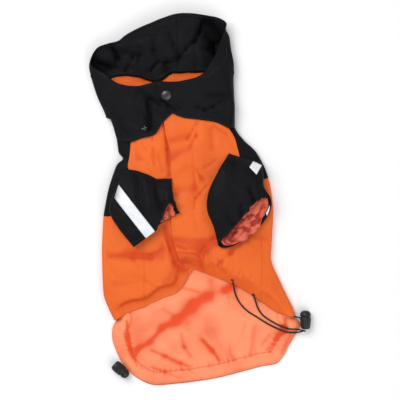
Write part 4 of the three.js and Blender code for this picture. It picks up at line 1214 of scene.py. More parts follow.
# Each row is a line from the neck (n) over the middle (m), the top (t) and the rim (r) to the lip (l) inside it.
# on = 1: heights are above the front; on = 0: above the table.
HOOD_LEFT = [
    (1, -22, 97.5, 4.2, -23, 106, 4.2, -26, 117, 4.4, -28, 126, 4.4, -28.5, 129, 3.6),
    (1, -35.6, 84.2, 4.2, -37, 100, 4.2, -39, 115, 4.6, -41, 127, 5, -41, 130, 4),
    (1, -44.6, 71.6, 2.6, -47, 92, 3.8, -50, 112, 4.8, -51.5, 123.5, 5.6, -52, 127, 4.4),
    (1, -58, 67.6, 2.0, -60, 88, 3.8, -64, 110, 5.0, -66, 121.5, 6.0, -66.5, 124.6, 4.8),
    (1, -70.4, 63.4, 2.1, -74, 86, 4.0, -80, 110, 5.6, -83, 124, 6.8, -83.6, 127.6, 5.4),
    (1, -79, 63.6, 2.1, -84, 86, 3.4, -92, 112, 5.6, -98, 134, 7.2, -98.6, 137.4, 6.2),
    (0, -86.5, 66.8, 5, -93.5, 89, 6, -107.5, 115, 8, -116.6, 146, 10.5, -115.2, 149.5, 14),
    (0, -80, 67.4, 0, -90, 92, 0, -104, 132, 1.0, -113.5, 152, 8, -113.6, 157.6, 14.5),
    (0, -72, 68.4, 0, -80, 100, 0, -93, 140, 1.0, -104, 160, 9, -107, 167.2, 15.5),
    (0, -62, 69.4, 0, -68, 106, 0, -80, 142, 2.0, -92, 163, 10, -95.6, 171.6, 16),
    (0, -54, 70.2, 0, -58, 110, 0, -69, 145, 3.0, -80, 166, 11, -84, 174.8, 16),
    (0, -47, 70.8, 0, -50, 114, 0, -60, 148, 3.5, -72, 172, 12, -76.6, 180.6, 16.5),
    (0, -40, 71.4, 0, -42, 116, 0, -50, 150, 4.0, -60, 178, 13, -64, 187.6, 17),
    (0, -33, 72.2, 0, -34, 118, 0, -39, 153, 4.5, -46, 184, 13.5, -49.2, 194, 17.5),
    (0, -26, 73, 0, -27, 120, 0, -29, 156, 5.0, -33, 189, 14, -34.8, 199.8, 18),
    (0, -20, 73.6, 0, -20, 120, 0, -20, 158, 5.0, -20, 193, 14.5, -20, 204.2, 18.5),
]
HOOD_RIGHT = [
    (0, -8, 75, 0, -8, 120, 0, -6, 158, 4.5, -5, 193, 14.5, -4, 204.6, 18.5),
    (0, 4, 76, 0, 4, 120, 0, 8, 156, 3.0, 10, 190, 13, 12, 202.4, 18),
    (0, 16, 77.4, 0, 17, 118, 0, 20, 154, 1.0, 23, 186, 11.5, 27, 199.2, 17.5),
    (0, 24, 78.4, 0, 25, 116, 0, 28, 152, 0, 30, 182, 10, 34.6, 193.6, 17.5),
    (0, 34, 79.6, 0, 34, 112, 0, 34, 150, 2.0, 36.6, 182, 10, 33, 186, 18.5),
    (0, 40, 80, 3, 40, 104, 3.5, 39.5, 140, 6, 38.6, 168, 12, 27.4, 171, 19),
    (0, 43.9, 80.6, 6, 43.8, 98, 7, 42.6, 128, 8, 40.6, 152, 12.5, 23, 159, 19),
    (1, 38.6, 78.4, 4.2, 42, 98, 4.6, 38, 124, 6, 33, 142, 8.4, 17.6, 150.5, 7.4),
    (1, 31.9, 81, 4.4, 32, 100, 5.2, 26, 120, 7, 19, 134, 8.4, 11, 140.5, 7.2),
    (1, 22, 85, 4.3, 21, 101, 5.4, 16, 119, 7.2, 9, 131, 8.4, 4.5, 135.6, 7.2),
    (1, 5, 87.6, 4.2, 2, 102, 5.6, -2, 117.5, 7.4, -7, 127.4, 8.2, -8.6, 131.4, 7.2),
    (1, -11, 89.6, 4.6, -14, 103, 5.8, -19, 116.4, 7.2, -24, 125.6, 8, -25, 129.2, 7.2),
    (1, -19, 92, 5.2, -23, 104.6, 6.2, -30, 115.6, 7.2, -34, 125.6, 8, -34.6, 129.6, 7.3),
    (1, -26.4, 95.6, 5.8, -31.5, 106, 6.6, -41.6, 114.5, 7.2, -41.4, 124, 8, -40.6, 130.4, 7.3),
]
HOOD_SPANS = 180
HOOD_ROWS = 104
# Creases on the inside of the hood's back, which shows through its mouth, and on the collar below the mouth.
HOOD_BACK_CREASES = [
    (-82, 169, -50, 173, 5.0, 2.6, 1.6),
    (-88, 164, -62, 160, 4.0, -1.4, 1.8),
    (-70, 176, -44, 182, 1.8, -1.0, 1.3),
    (-92, 168, -86, 156, 3.0, -2.0, 1.4),
    (-86, 156, -88, 147, 4.0, -1.8, 1.6),
    (-110, 150, -98, 146, 7.0, -3.0, 2),
    (-106, 163, -100, 156, 4.5, 1.2, 1.8),
    (-68, 157, -77, 143, 2.6, -2.2, 1.3),
    (-61, 162, -62, 152, 2.4, -0.9, 1.5),
    (-72, 154, -64, 146, 4.0, 1.4, 1.8),
    (-44, 177, -46, 165, 3.0, -1.8, 1.5),
    (-46, 165, -42, 157, 3.4, -1.0, 1.8),
    (-41, 152, -48, 143, 2.6, -2.4, 1.3),
    (-33, 151, -18, 154, 3.0, -2.0, 1.4),
    (-32, 150, -28, 138, 5.0, -1.6, 1.8),
    (-29, 184, -24, 172, 1.8, -1.6, 1.3),
    (-24, 172, -17.5, 158, 2.0, -2.0, 1.3),
    (-17.5, 157, -10, 166, 2.2, -2.2, 1.3),
    (-10, 166, 0, 175, 2.6, -2.4, 1.4),
    (0, 175, 5, 184, 3.0, -2.6, 1.5),
    (5, 184, 9, 196, 3.0, -2.6, 1.5),
    (-14, 172, -2, 190, 9.0, 3.2, 2),
    (-36, 174, -28, 160, 8.0, 2.6, 2),
    (4, 164, 10, 148, 6.0, 1.6, 2),
    (0, 168, 1, 146, 2.0, -1.0, 1.4),
    (14, 190, 24, 174, 10.0, -4.5, 2),
    (10, 168, 22, 164, 6.0, -1.4, 1.8),
    (22, 172, 23, 162, 3.5, -2.5, 1.6),
    (-40, 190, -20, 196, 3.0, 1.0, 1.6),
    (-56, 168, -50, 158, 4.0, 1.4, 1.8),
]
COLLAR_CREASES = [
    (-51, 106, -49.5, 77, 3.0, -2.4, 1.4),
    (-70, 104, -66, 84, 9.0, 1.6, 2),
    (-60, 118, -50, 110, 4.5, -1.2, 1.8),
    (-50, 110, -37, 105, 3.0, -1.4, 1.5),
    (-37, 110, -28, 103, 1.4, -1.2, 1.3),
    (-28, 103, -20, 98, 1.4, -1.0, 1.3),
    (-42, 100, -33, 96, 4.0, 1.2, 1.8),
    (-60, 97, -53, 88, 2.0, -1.0, 1.3),
    (-64, 84, -54, 80, 5.0, -1.0, 2),
    (-84, 100, -76, 72, 5.0, -0.9, 1.8),
    (-94, 118, -84, 96, 6.0, 1.2, 2),
    (2, 102, 11, 98.5, 1.6, -1.4, 1.3),
    (11, 98.5, 20, 102, 1.8, -1.6, 1.3),
    (20, 102, 28, 107, 1.6, -1.2, 1.3),
    (28, 107, 37, 111, 1.8, -0.9, 1.4),
    (30, 103, 40, 104, 4.0, 1.2, 1.8),
    (9, 95, 22, 94, 3.4, 1.6, 1.6),
    (-20, 104, -16, 99, 1.4, -0.8, 1.3),
    (14, 114, 36, 116, 4.5, -1.0, 2),
    (24, 150, 38, 134, 3.0, -0.8, 1.6),
    (-20, 112, 8, 110, 5.0, 1.0, 2),
    (31, 174, 34, 156, 5.0, 1.6, 1.8),
    (20, 152, 38, 149, 2.6, -1.0, 1.5),
]
# The roll along the rim and the stitched line inside it: places from the neck, 0, to the lip, 1, and widths.
# The creases of the hood's back die out over the last of that way.
RIM_FADE = 0.2
RIM_PUFF = 0.9
RIM_PUFF_AT = 0.8
RIM_PUFF_WIDTH = 0.1
RIM_HEM_AT = 0.9
RIM_HEM_WIDTH = 0.012
RIM_HEM_GROOVE = 0.7
# The left side ends in a corner where the hood is folded over the shoulder.
CORNER_Y = 89
CORNER_TURN = 1.6
CORNER_OUT = 4.4
CORNER_REACH = 16
CORNER_LEFT_OF = -72
CORNER_OVER = 16
# Where the collar stands clear of what lies under it, and how high up it goes.
COLLAR_CLEAR = 6
COLLAR_TOP = 136
COLLAR_FADE = 8
# The lip of the slit that shows the yoke's lining, and the height above which it dies out.
SLIT_LIP = 2.4
SLIT_LIP_WIDTH = 1.6
SLIT_LIP_AT = 1.8
SLIT_LIP_TOP = 2
SLIT_LIP_FADE = 9
HOOD_PAINTED_SHADE_DEPTH = 2.4


def section_points(row):
    """The five places of a section, its heights above the table."""
    points = np.array([[row[key + axis] for axis in "xyz"] for key in "nmtrl"], float)
    if row["on"]:
        points[:, 2] += front_height(points[:, 0], points[:, 1])
    return points


def loft(rows, u, v):
    """A surface through sections: u runs across them, v along them."""
    lines = np.stack([spline(section_points(row), v) for row in table(SECTION, rows)])
    grid = np.stack([spline(lines[:, j], u) for j in range(len(v))], 1)
    grid[..., 2] = np.maximum(grid[..., 2], 0)
    return grid


def hood_half(side, start, end):
    """One half of the hood, between two shares of the way round it."""
    u, v = np.linspace(start, end, HOOD_SPANS + 1), np.linspace(0, 1, HOOD_ROWS + 1)
    grid = loft(HOOD_LEFT + HOOD_RIGHT, u, v)
    x, y, z = (grid[..., k] for k in range(3))
    corner = smooth((y - CORNER_Y) / CORNER_TURN) * np.exp(-np.maximum(0, y - CORNER_Y) / CORNER_REACH)
    grid[..., 0] -= CORNER_OUT * corner * np.clip((CORNER_LEFT_OF - x) / CORNER_OVER, 0, 1)
    out = normals_of(grid) * -1
    slit = np.interp(x, *np.array(SLIT_TOP).T)
    inside = np.clip((out[..., 2] < 0) & (y > slit), 0, 1)
    front = np.clip((z - COLLAR_CLEAR) / COLLAR_CLEAR, 0, 1) * np.clip((COLLAR_TOP - y) / COLLAR_FADE, 0, 1)
    front = front * (out[..., 2] > 0)
    small = crumple(31, 60, (-115, 68, 42, 200), length=(8, 24), width=(2, 4), height=(0.2, 0.6))
    at_rim = smooth((1 - v) / RIM_FADE)[None]
    back_relief = creases(HOOD_BACK_CREASES + small, x, y) * inside * at_rim
    front_relief_up = creases(COLLAR_CREASES + small, x, y) * front
    rim = RIM_PUFF * bell(v - RIM_PUFF_AT, RIM_PUFF_WIDTH)[None] * front
    groove = -RIM_HEM_GROOVE * bell(v - RIM_HEM_AT, RIM_HEM_WIDTH)[None] * inside
    lip = SLIT_LIP * (smooth((y - slit) / SLIT_LIP_WIDTH) + bell(y - slit - SLIT_LIP_AT, SLIT_LIP_WIDTH))
    grid[..., 2] += back_relief + groove + lip * inside * (1 - smooth((z - SLIT_LIP_TOP) / SLIT_LIP_FADE))
    grid += out * (front_relief_up + rim)[..., None]
    grid[..., 2] = np.maximum(grid[..., 2], 0)
    # Painted shade, darker down in the creases of the hood's back and of the collar.
    painted_shade = -creases(HOOD_BACK_CREASES, x, y) * inside / HOOD_PAINTED_SHADE_DEPTH
    painted_shade -= creases(COLLAR_CREASES, x, y) * front / HOOD_PAINTED_SHADE_DEPTH
    made = cloth_piece(f"hood_{side}_shell", grid, [black_polyester], out=-1, painted_shade=np.clip(painted_shade, 0, 1))
    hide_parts(f"hood_{side}")
    return made, grid


hood_seam = (len(HOOD_LEFT) - 1) / (len(HOOD_LEFT) + len(HOOD_RIGHT) - 1)
hood_left, hood_left_grid = hood_half("left", 0, hood_seam)
hood_right, hood_right_grid = hood_half("right", hood_seam, 1)

# ---- Sleeves ----
# Short black polyester tubes, set into the armholes and lying flat over the front. Each is a run of rings from
# the armhole to the cuff; the left one lies nearly closed, the right one gapes.
RING = "lx ly rx ry tx ty bx by ax ay mid top"
# l and r are the side folds; tx, ty and bx, by shift the middle of the upper and the lower layer; ax, ay is the
# arch of the cuff's mouth; mid and top are heights above what the sleeve lies on.
SLEEVE_LEFT = [
    (-76, 31.6, -25.6, 23, 1, 0, 1, -26, 0, 0, 0.9, 1.5),
    (-88, 10, -24.4, 9, 0, 3, 2, -14, 0, 0, 5.4, 11),
    (-94, -12, -22.4, -3, 0, 0, 3, -5, 0, 5.5, 6, 14),
    (-84, -31, -19.4, -10, 0, 0, 0, 0, 0, 12, 5.6, 13),
    (-67, -52, -16.5, -14.6, 0, 0, -1.8, 2.6, -0.8, 18.6, 4.6, 10.5),
]
SLEEVE_RIGHT = [
    (37.4, 51, 72.5, 42, 0, -1, 0, -40, 0, 0, 0.9, 1.5),
    (25.5, 31, 75, 29, 0, 4, 0, -31, 0, 0, 5.6, 12),
    (15, 9, 75.5, 15, 0, 3, 0, -19, 0, 0, 6.2, 15),
    (13.2, -11, 81, 6, 0, 0, 2, -12, 0, 0, 6.2, 15),
    (20.5, -30, 83, 2, 0, 0, 5, -10, -3, 4, 5.8, 14),
    (25.3, -49.8, 83, -0.5, -1.5, 3, 8.5, -12.5, -7, 9, 5, 13),
]
# How much of the arch there is at an angle round the cuff.
ARCH_LEFT = [
    (0, 0), (0.35, 0.12), (0.5, 0.3), (0.6, 0.8), (0.72, 0.97), (0.92, 1), (1.08, 0.97), (1.2, 0.78),
    (1.28, 0.4), (1.44, 0.32), (1.57, 0),
]  # fmt: skip
ARCH_RIGHT = [(0, 0), (0.15, 0.35), (0.45, 0.92), (0.79, 1), (1.2, 0.55), (1.6, 0.15), (2, 0)]
# How far the left armhole seam strays upwards from a straight line, at an angle round it.
WAVE_LEFT = [(0, 0.8), (0.89, -1.2), (1.255, -3.2), (1.6, -0.3), (2.1, 2.2), (2.6, 2.2), (3.2, 1.2)]
# How far past the shell's edge, in millimetres, the cuff's lining reaches at an angle round it.
PAST_LEFT = [(0, -3), (0.45, -3), (0.6, 2.2), (1.15, 2.6), (1.3, -3), (4.9, -3), (5.1, -0.4), (5.9, -0.4), (6.1, -3)]
PAST_RIGHT = [
    (0, -3), (0.3, -4), (2.7, -4), (3.0, 0), (3.5, 1), (4.0, 0.2), (4.5, 1.4), (5.1, 0.4), (5.3, -3.4), (6.2, -3.4),
]  # fmt: skip
WAVE_FADE = 0.35
UPPER_ROUND = 0.8
LOWER_ROUND = 0.7
RAIL_SHARE = 2
LAP_RAMP_FROM = 11
LAP_RAMP_TO = 3
LAYER_GAP = 0.5
SLEEVE_AROUND = 200
SLEEVE_ROWS = 60
# Share of the sleeve over which its creases die out towards the armhole.
ARMHOLE_FADE = 0.12
SLEEVE_PAINTED_SHADE_DEPTH = 2.5
SLEEVE_LEFT_CREASES = [
    (-70, 26, -66, -6, 5.0, 1.6, 1.8),
    (-54, 24, -50, -10, 5.0, 1.7, 1.8),
    (-62, 24, -58, -16, 4.0, -1.4, 1.6),
    (-44, 22, -40, -8, 4.0, -1.0, 1.6),
    (-42, 10, -36, -12, 3.0, -1.2, 1.4),
    (-34, 18, -28, -2, 4.0, 1.0, 1.8),
    (-84, 8, -76, 20, 3.6, 0.8, 1.6),
    (-80, -8, -62, -26, 4.0, -0.8, 1.8),
    (-86, -22, -68, -42, 4.0, 0.8, 1.8),
    (-46, -14, -36, -20, 3.0, 0.9, 1.6),
]
SLEEVE_RIGHT_CREASES = [
    (60, 12, 66, -6, 3.0, -1.8, 1.4),
    (66, 14, 70, -2, 3.4, 1.4, 1.6),
    (50, -6, 52, -24, 3.0, -1.6, 1.4),
    (56, -8, 58, -22, 3.4, 1.4, 1.6),
    (34, -18, 40, -25, 2.8, -1.0, 1.4),
    (42, -27, 50, -30, 2.8, -1.0, 1.4),
    (30, 34, 34, 6, 7.0, 1.2, 2),
    (42, 38, 44, 4, 6.0, -1.0, 2),
    (22, 10, 24, -20, 5.0, 0.9, 2),
    (56, 34, 66, 26, 3.0, -1.0, 1.6),
    (44, 14, 56, 4, 5.0, 1.0, 2),
    (26, -22, 36, -34, 3.0, 0.9, 1.6),
    (74, 14, 76, 4, 2.4, -1.0, 1.5),
]


def sleeve_rest(x, y):
    """Height at which a sleeve rests: on the left front, then up over the lap of the right front."""
    before = x_at(LAP_EDGE, y) - x
    on_lap = smooth((LAP_RAMP_FROM - before) / (LAP_RAMP_FROM - LAP_RAMP_TO))
    return front_height(x, y) + LAYER_GAP + LAP_STEP * on_lap


def rings_at(rings, v):
    """The named columns of the rings, run smoothly from one ring to the next."""
    rows = np.array(rings, float)
    place = np.clip(v, 0, 1) * (len(rows) - 1)
    i = np.minimum(place.astype(int), len(rows) - 2)
    t = (place - i)[:, None]
    a, b, c, d = (rows[np.clip(i + k, 0, len(rows) - 1)] for k in (-1, 0, 1, 2))
    m0, m1 = (c - a) / 2, (d - b) / 2
    columns = b + t * m0 + t**2 * (3 * (c - b) - 2 * m0 - m1) + t**3 * (2 * (b - c) + m0 + m1)
    return dict(zip(RING.split(), columns.T))


def sleeve_tube(sleeve, angle, v, inset=0):
    """Points of a sleeve: angle runs round it, v down it. inset makes a smaller tube inside the same rings."""
    ring = rings_at(sleeve["rings"], v)
    angle = np.asarray(angle)[:, None]
    c, s = np.cos(angle), np.sin(angle)
    shift_x = np.where(s > 0, s * ring["tx"], -s * ring["bx"])
    shift_y = np.where(s > 0, s * ring["ty"], -s * ring["by"])
    arch = np.interp(angle, *np.array(sleeve["arch"]).T)
    wave = np.interp(angle, *np.array(sleeve["wave"]).T) * (s > 0) * np.clip(1 - v / WAVE_FADE, 0, 1)
    width = np.hypot(ring["rx"] - ring["lx"], ring["ry"] - ring["ly"])
    reach = c * (width - 2 * RAIL_SHARE * inset) / (2 * width)
    x = (ring["lx"] + ring["rx"]) / 2 + reach * (ring["rx"] - ring["lx"]) + shift_x + arch * ring["ax"]
    y = (ring["ly"] + ring["ry"]) / 2 + reach * (ring["ry"] - ring["ly"]) + shift_y + arch * ring["ay"] + wave
    upper = ring["mid"] + (ring["top"] - inset - ring["mid"]) * np.abs(s) ** UPPER_ROUND
    lower = ring["mid"] - (ring["mid"] - inset) * np.abs(s) ** LOWER_ROUND
    return np.stack([x, y, sleeve_rest(x, y) + np.where(s > 0, upper, lower)], -1)


def sleeve_piece(side, sleeve, folds, seed):
    """One sleeve as a closed tube, creased on its upper side."""
    angle = np.linspace(0, 2 * np.pi, SLEEVE_AROUND, endpoint=False)
    v = np.linspace(0, 1, SLEEVE_ROWS + 1)
    grid = sleeve_tube(sleeve, angle, v)
    x, y = grid[..., 0], grid[..., 1]
    on_top = np.clip(np.sin(angle), 0, 1)[:, None] ** 0.5
    at_armhole = np.clip(v / ARMHOLE_FADE, 0, 1)[None]
    small = crumple(seed, 40, (x.min(), y.min(), x.max(), y.max()), (6, 18), (1.8, 3.6), (0.2, 0.6))
    lift = creases(folds + small, x, y) * on_top * at_armhole
    grid += normals_of(grid, closed=True) * lift[..., None]
    # Painted shade down in the creases of the sleeve's upper side.
    painted_shade = np.clip(-creases(folds, x, y) / SLEEVE_PAINTED_SHADE_DEPTH, 0, 1) * on_top
    made = cloth_piece(f"sleeve_{side}_shell", grid, [black_polyester], closed=True, painted_shade=painted_shade)
    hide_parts(f"sleeve_{side}")
    return made, grid


left_sleeve = {"rings": SLEEVE_LEFT, "arch": ARCH_LEFT, "past": PAST_LEFT, "wave": WAVE_LEFT, "lined_from": 0.45}
right_sleeve = {"rings": SLEEVE_RIGHT, "arch": ARCH_RIGHT, "past": PAST_RIGHT, "wave": [(0, 0)], "lined_from": 0.5}
sleeve_left, sleeve_left_grid = sleeve_piece("left", left_sleeve, SLEEVE_LEFT_CREASES, seed=41)
sleeve_right, sleeve_right_grid = sleeve_piece("right", right_sleeve, SLEEVE_RIGHT_CREASES, seed=42)

# ---- Cuff linings ----
# Coral taffeta inside the cuffs, sewn to the end of each sleeve and gathered on a narrow elastic, so that it
# stands in uneven folds in the mouth. Farther in, it hangs a little clear of the sleeve's upper side.
CUFF_AROUND = 220
CUFF_ROWS = 40
CUFF_TO = 0.985
GATHER_DEPTH = 1.5
GATHER_PITCH = 0.42
GATHER_DRIFT = 0.3
UPPER_CLEAR = 2.4
CUFF_PAINTED_SHADE_DEPTH = 2.2
CUFF_LEFT_FOLDS = [
    (-31, -8, -27, -18, 2.0, -1.4, 1.4),
    (-24, -6, -24, -16, 1.8, 1.2, 1.4),
    (-34, -16, -28, -20, 1.6, 0.9, 1.4),
]
CUFF_RIGHT_FOLDS = [
    (68, -22, 74, -8, 2.2, -2.4, 1.4),
    (74, -8, 76, -2, 2.0, -1.8, 1.4),
    (58, -33, 64, -26, 2.0, -2.2, 1.4),
    (64, -26, 69, -22, 2.0, -2.2, 1.4),
    (53, -29, 58, -33, 1.8, -2.0, 1.4),
    (62, -16, 70, -18, 1.8, -1.6, 1.4),
    (33, -41, 43, -35, 4.0, -2.4, 1.8),
    (59, -39, 68, -37, 2.2, -1.4, 1.5),
    (27, -45, 33, -41, 2.4, 1.8, 1.6),
    (72, -18, 77, 0, 2.4, 2.0, 1.6),
    (54, -26, 58, -30, 2.2, 2.0, 1.5),
    (42, -38, 55, -43, 3.4, 1.8, 1.6),
    (62, -30, 66, -34, 2.4, 1.6, 1.5),
    (66, -12, 70, -4, 3.0, 1.4, 1.6),
]
CUFF_CORAL = "F0745A"
# The dark red painted into the gathers as shade.
CUFF_CORAL_PAINTED_SHADE = "A83220"
cuff_taffeta = woven_cloth(
    "coral_cuff_taffeta", CUFF_CORAL, CUFF_CORAL_PAINTED_SHADE, roughness=0.5, gloss=0.3, sheen=0.03, crinkle=1.8
)


def cuff_piece(side, sleeve, folds, seed):
    """The gathered lining in the end of one sleeve."""
    angle = np.linspace(0, 2 * np.pi, CUFF_AROUND, endpoint=False)
    share = np.linspace(0, 1, CUFF_ROWS + 1)
    v = sleeve["lined_from"] + (CUFF_TO - sleeve["lined_from"]) * share
    grid = sleeve_tube(sleeve, angle, v, CLOTH + LAYER_GAP + GATHER_DEPTH / 2)
    onward = grid[:, -1] - grid[:, -2]
    onward /= np.linalg.norm(onward, axis=-1, keepdims=True)
    past = np.interp(angle, *np.array(sleeve["past"]).T)
    grid += onward[:, None] * (past[:, None] * share**4)[..., None]
    # The waves stray along the sleeve and vary in depth, so that no two folds are alike.
    drift = GATHER_DRIFT * waves(share * 4 + 2, 1.0, seed + 2)
    fold = waves(angle[:, None] + 1 + drift, GATHER_PITCH, seed)
    fold = fold * (0.55 + 0.45 * waves(angle[:, None] * 0.6 + share * 3 + 2, 0.9, seed + 1))
    fold *= smooth(np.minimum(angle, 2 * np.pi - angle) / 0.3)[:, None]
    x, y = grid[..., 0], grid[..., 1]
    small = crumple(seed, 70, (x.min(), y.min(), x.max(), y[:, -1].max()), (4, 12), (1.0, 2.4), (0.3, 1.2))
    below = smooth(-np.sin(angle) / 0.3)[:, None]
    relief = creases(folds + small, x, y) * below
    gather = np.maximum(0, 0.4 + fold) * GATHER_DEPTH * (0.4 + 0.6 * share)
    gather += UPPER_CLEAR * smooth(np.sin(angle) / 0.3)[:, None] * smooth((1 - share) / 0.12)
    inwards_z = np.clip(-np.sin(angle) / 0.25, -1, 1)[:, None]
    grid[..., 2] += inwards_z * (gather + np.maximum(relief, -GATHER_DEPTH))
    # Painted shade: some all through the mouth of the cuff, more down between the gathers and in the creases, less
    # on the crests of the gathers.
    painted_shade = np.clip(0.3 - 0.6 * fold - relief / CUFF_PAINTED_SHADE_DEPTH, 0, 1)
    made = cloth_piece(
        f"cuff_lining_{side}_gathers", grid, [cuff_taffeta], closed=True, thickness=LINING, painted_shade=painted_shade
    )
    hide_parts(f"cuff_lining_{side}")
    return made


cuff_left = cuff_piece("left", left_sleeve, CUFF_LEFT_FOLDS, seed=51)
cuff_right = cuff_piece("right", right_sleeve, CUFF_RIGHT_FOLDS, seed=53)

# ---- Reflective tapes ----
# Silver-white glass-bead tape, 12.5 mm wide, sewn flat across the left sleeve from the armhole's back to the cuff.
# A short end of the right sleeve's tape shows at the shoulder. Both are left bare.
TAPE_THICKNESS = 0.3
TAPE_CLEAR = 0.15
TAPE_WHITE = "F2F3F7"
TAPE_GREY = "C9CCD6"
# A bead every 0.45 mm, far coarser than real ones, so that they show, and clouds about 17 mm apart.
BEAD_SCALE = 2200.0
CLOUD_SCALE = 60.0
# Corner places: start and end of one long edge, then of the other.
TAPE_LEFT = [(-83.4, 16.4), (-43.6, -34.4), (-88.2, 2.0), (-53.6, -42.0)]
# Where the end of the right sleeve's tape turns into the cuff: angles round it, and shares down it.
TAPE_END_ANGLES = (5.5, 5.94)
TAPE_END_SHARES = (0.9, 0.998)
# The tape's upper end turns away under the arm: the grey of the shade painted into its colour there, and the share
# of its length over which that painted shade fades.
TAPE_PAINTED_SHADE = "5E6068"
TAPE_PAINTED_SHADE_REACH = 0.07
TAPE_SHOULDER = [(63.8, 42), (73.2, 37.6), (59.4, 35.5), (67.1, 27.4)]

glass_bead_tape, tree, shader = material("glass_bead_reflective_tape")
# Glass beads over aluminium: pale, a little pearly, with a fine sparkle from bead to bead.
place = node(tree, "ShaderNodeTexCoord").outputs["Object"]
beads = node(tree, "ShaderNodeTexVoronoi", {"Vector": place, "Scale": BEAD_SCALE}, feature="F1")
relief = node(tree, "ShaderNodeBump", {"Strength": 0.25, "Distance": 0.0001, "Height": beads.outputs["Distance"]})
cloudy = node(tree, "ShaderNodeTexNoise", {"Vector": place, "Scale": CLOUD_SCALE, "Detail": 3.0})
cloud_share = node(
    tree, "ShaderNodeMapRange", {"Value": cloudy.outputs["Fac"], "From Min": 0.5, "From Max": 0.8, "To Max": 0.6}
)
pearl = node(
    tree, "ShaderNodeMix",
    {"Factor": cloud_share.outputs["Result"], "A": linear(TAPE_WHITE), "B": linear(TAPE_GREY)}, data_type="RGBA",
)  # fmt: skip
# The point attribute read here is painted shade, mixing the tape towards a grey at its upper end.
painted_end_shade = node(tree, "ShaderNodeAttribute", attribute_name="painted_shade")
shaded = node(
    tree, "ShaderNodeMix",
    {"Factor": painted_end_shade.outputs["Fac"], "A": pearl.outputs["Result"], "B": linear(TAPE_PAINTED_SHADE)}, data_type="RGBA",
)  # fmt: skip
feed(
    tree, shader,
    {
        "Base Color": shaded.outputs["Result"], "Normal": relief.outputs["Normal"], "Roughness": 0.38,
        "Metallic": 0.1,
    },
)  # fmt: skip


def surface_of(grid, closed=False):
    """A search tree over a grid of points, for finding what lies under a place."""
    wide, long = grid.shape[:2]
    i, j = (k.ravel() for k in np.meshgrid(range(wide if closed else wide - 1), range(long - 1), indexing="ij"))
    n = (i + 1) % wide
    faces = np.stack([i * long + j, n * long + j, n * long + j + 1, i * long + j + 1], 1)
    return BVHTree.FromPolygons(grid.reshape(-1, 3).tolist(), faces.tolist())


def drop(surface, x, y):
    """The highest point of a surface above a place, and the way it faces there, upwards."""
    point, square, _, _ = surface.ray_cast(Vector((x, y, 200)), Vector((0, 0, -1)))
    if point is None:
        point, square, _, _ = surface.find_nearest(Vector((x, y, 25)))
    square = np.array(square)
    return np.array(point), square * (1 if square[2] >= 0 else -1)


def tape_piece(place, surface, corners, long, wide, shade=0):
    """A band of tape laid on a surface between four corners. shade is how strongly painted shade darkens its upper
    end.
    """
    a, b, c, d = np.array(corners, float)
    grid = np.zeros((long + 1, wide + 1, 3))
    for i, u in enumerate(np.linspace(0, 1, long + 1)):
        for j, v in enumerate(np.linspace(0, 1, wide + 1)):
            x, y = (a + (b - a) * u) * (1 - v) + (c + (d - c) * u) * v
            point, square = drop(surface, x, y)
            grid[i, j] = point + square * (TAPE_THICKNESS + TAPE_CLEAR)
    smoothed = grid.copy()
    smoothed[1:-1, :, 2] = (grid[:-2, :, 2] + 2 * grid[1:-1, :, 2] + grid[2:, :, 2]) / 4
    painted_end_shade = np.exp(-np.linspace(0, 1, long + 1) / TAPE_PAINTED_SHADE_REACH)[:, None] * np.linspace(0.35, 1, wide + 1)
    painted_shade = shade * painted_end_shade
    made = cloth_piece(
        f"tape_{place}_band", smoothed, [glass_bead_tape], out=-1, thickness=TAPE_THICKNESS, painted_shade=painted_shade
    )
    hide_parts(f"tape_{place}")
    return made, smoothed


left_surface = surface_of(sleeve_left_grid, closed=True)
right_surface = surface_of(sleeve_right_grid, closed=True)
tape_left, tape_left_grid = tape_piece("sleeve_left", left_surface, TAPE_LEFT, long=60, wide=14, shade=1)
tape_right, _ = tape_piece("shoulder_right", right_surface, TAPE_SHOULDER, long=12, wide=12)

end_grid = sleeve_tube(
    right_sleeve, np.linspace(*TAPE_END_ANGLES, 12), np.linspace(*TAPE_END_SHARES, 6), CLOTH + TAPE_THICKNESS + 0.1
)
tape_end = cloth_piece("tape_cuff_right_end", end_grid, [glass_bead_tape], out=-1, thickness=TAPE_THICKNESS)

# ---- Throat snap ----
# A black enamelled steel press stud, set through the hood's lapped corner. Its cap has a rolled edge round a
# slightly domed middle.
SNAP_PLACE = (-31.4, 114.1)
SNAP_RADIUS = 5.8
SNAP_HEIGHT = 2.4
SNAP_PROFILE = [
    (0, 0), (0.93, 0), (1, 0.08), (1, 0.22), (0.97, 0.38), (0.9, 0.54), (0.78, 0.7), (0.62, 0.83),
    (0.42, 0.93), (0.2, 0.98), (0, 1),
]  # fmt: skip
SNAP_SUNK = 0.1
ENAMEL_BLACK = "3C3C40"
# Orange peel with a bump about every 1.1 mm.
PEEL_SCALE = 900.0

enamelled_steel, tree, shader = material("black_enamelled_steel")
# Baked enamel over pressed steel: smooth and fairly glossy, with the faintest orange peel.
place = node(tree, "ShaderNodeTexCoord").outputs["Object"]
peel = node(tree, "ShaderNodeTexNoise", {"Vector": place, "Scale": PEEL_SCALE, "Detail": 2.0})
relief = node(tree, "ShaderNodeBump", {"Strength": 0.2, "Distance": 0.00006, "Height": peel.outputs["Fac"]})
feed(
    tree, shader,
    {
        "Base Color": linear(ENAMEL_BLACK), "Normal": relief.outputs["Normal"], "Roughness": 0.3, "Metallic": 0.6,
        "Coat Weight": 0.4,
    },
)  # fmt: skip

snap_seat, snap_axis = drop(surface_of(hood_right_grid), *SNAP_PLACE)
snap = turned(
    "throat_snap_cap", SNAP_PROFILE, SNAP_RADIUS, SNAP_HEIGHT, snap_seat - SNAP_SUNK * snap_axis, snap_axis,
    [enamelled_steel],
)  # fmt: skip
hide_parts("throat_snap")

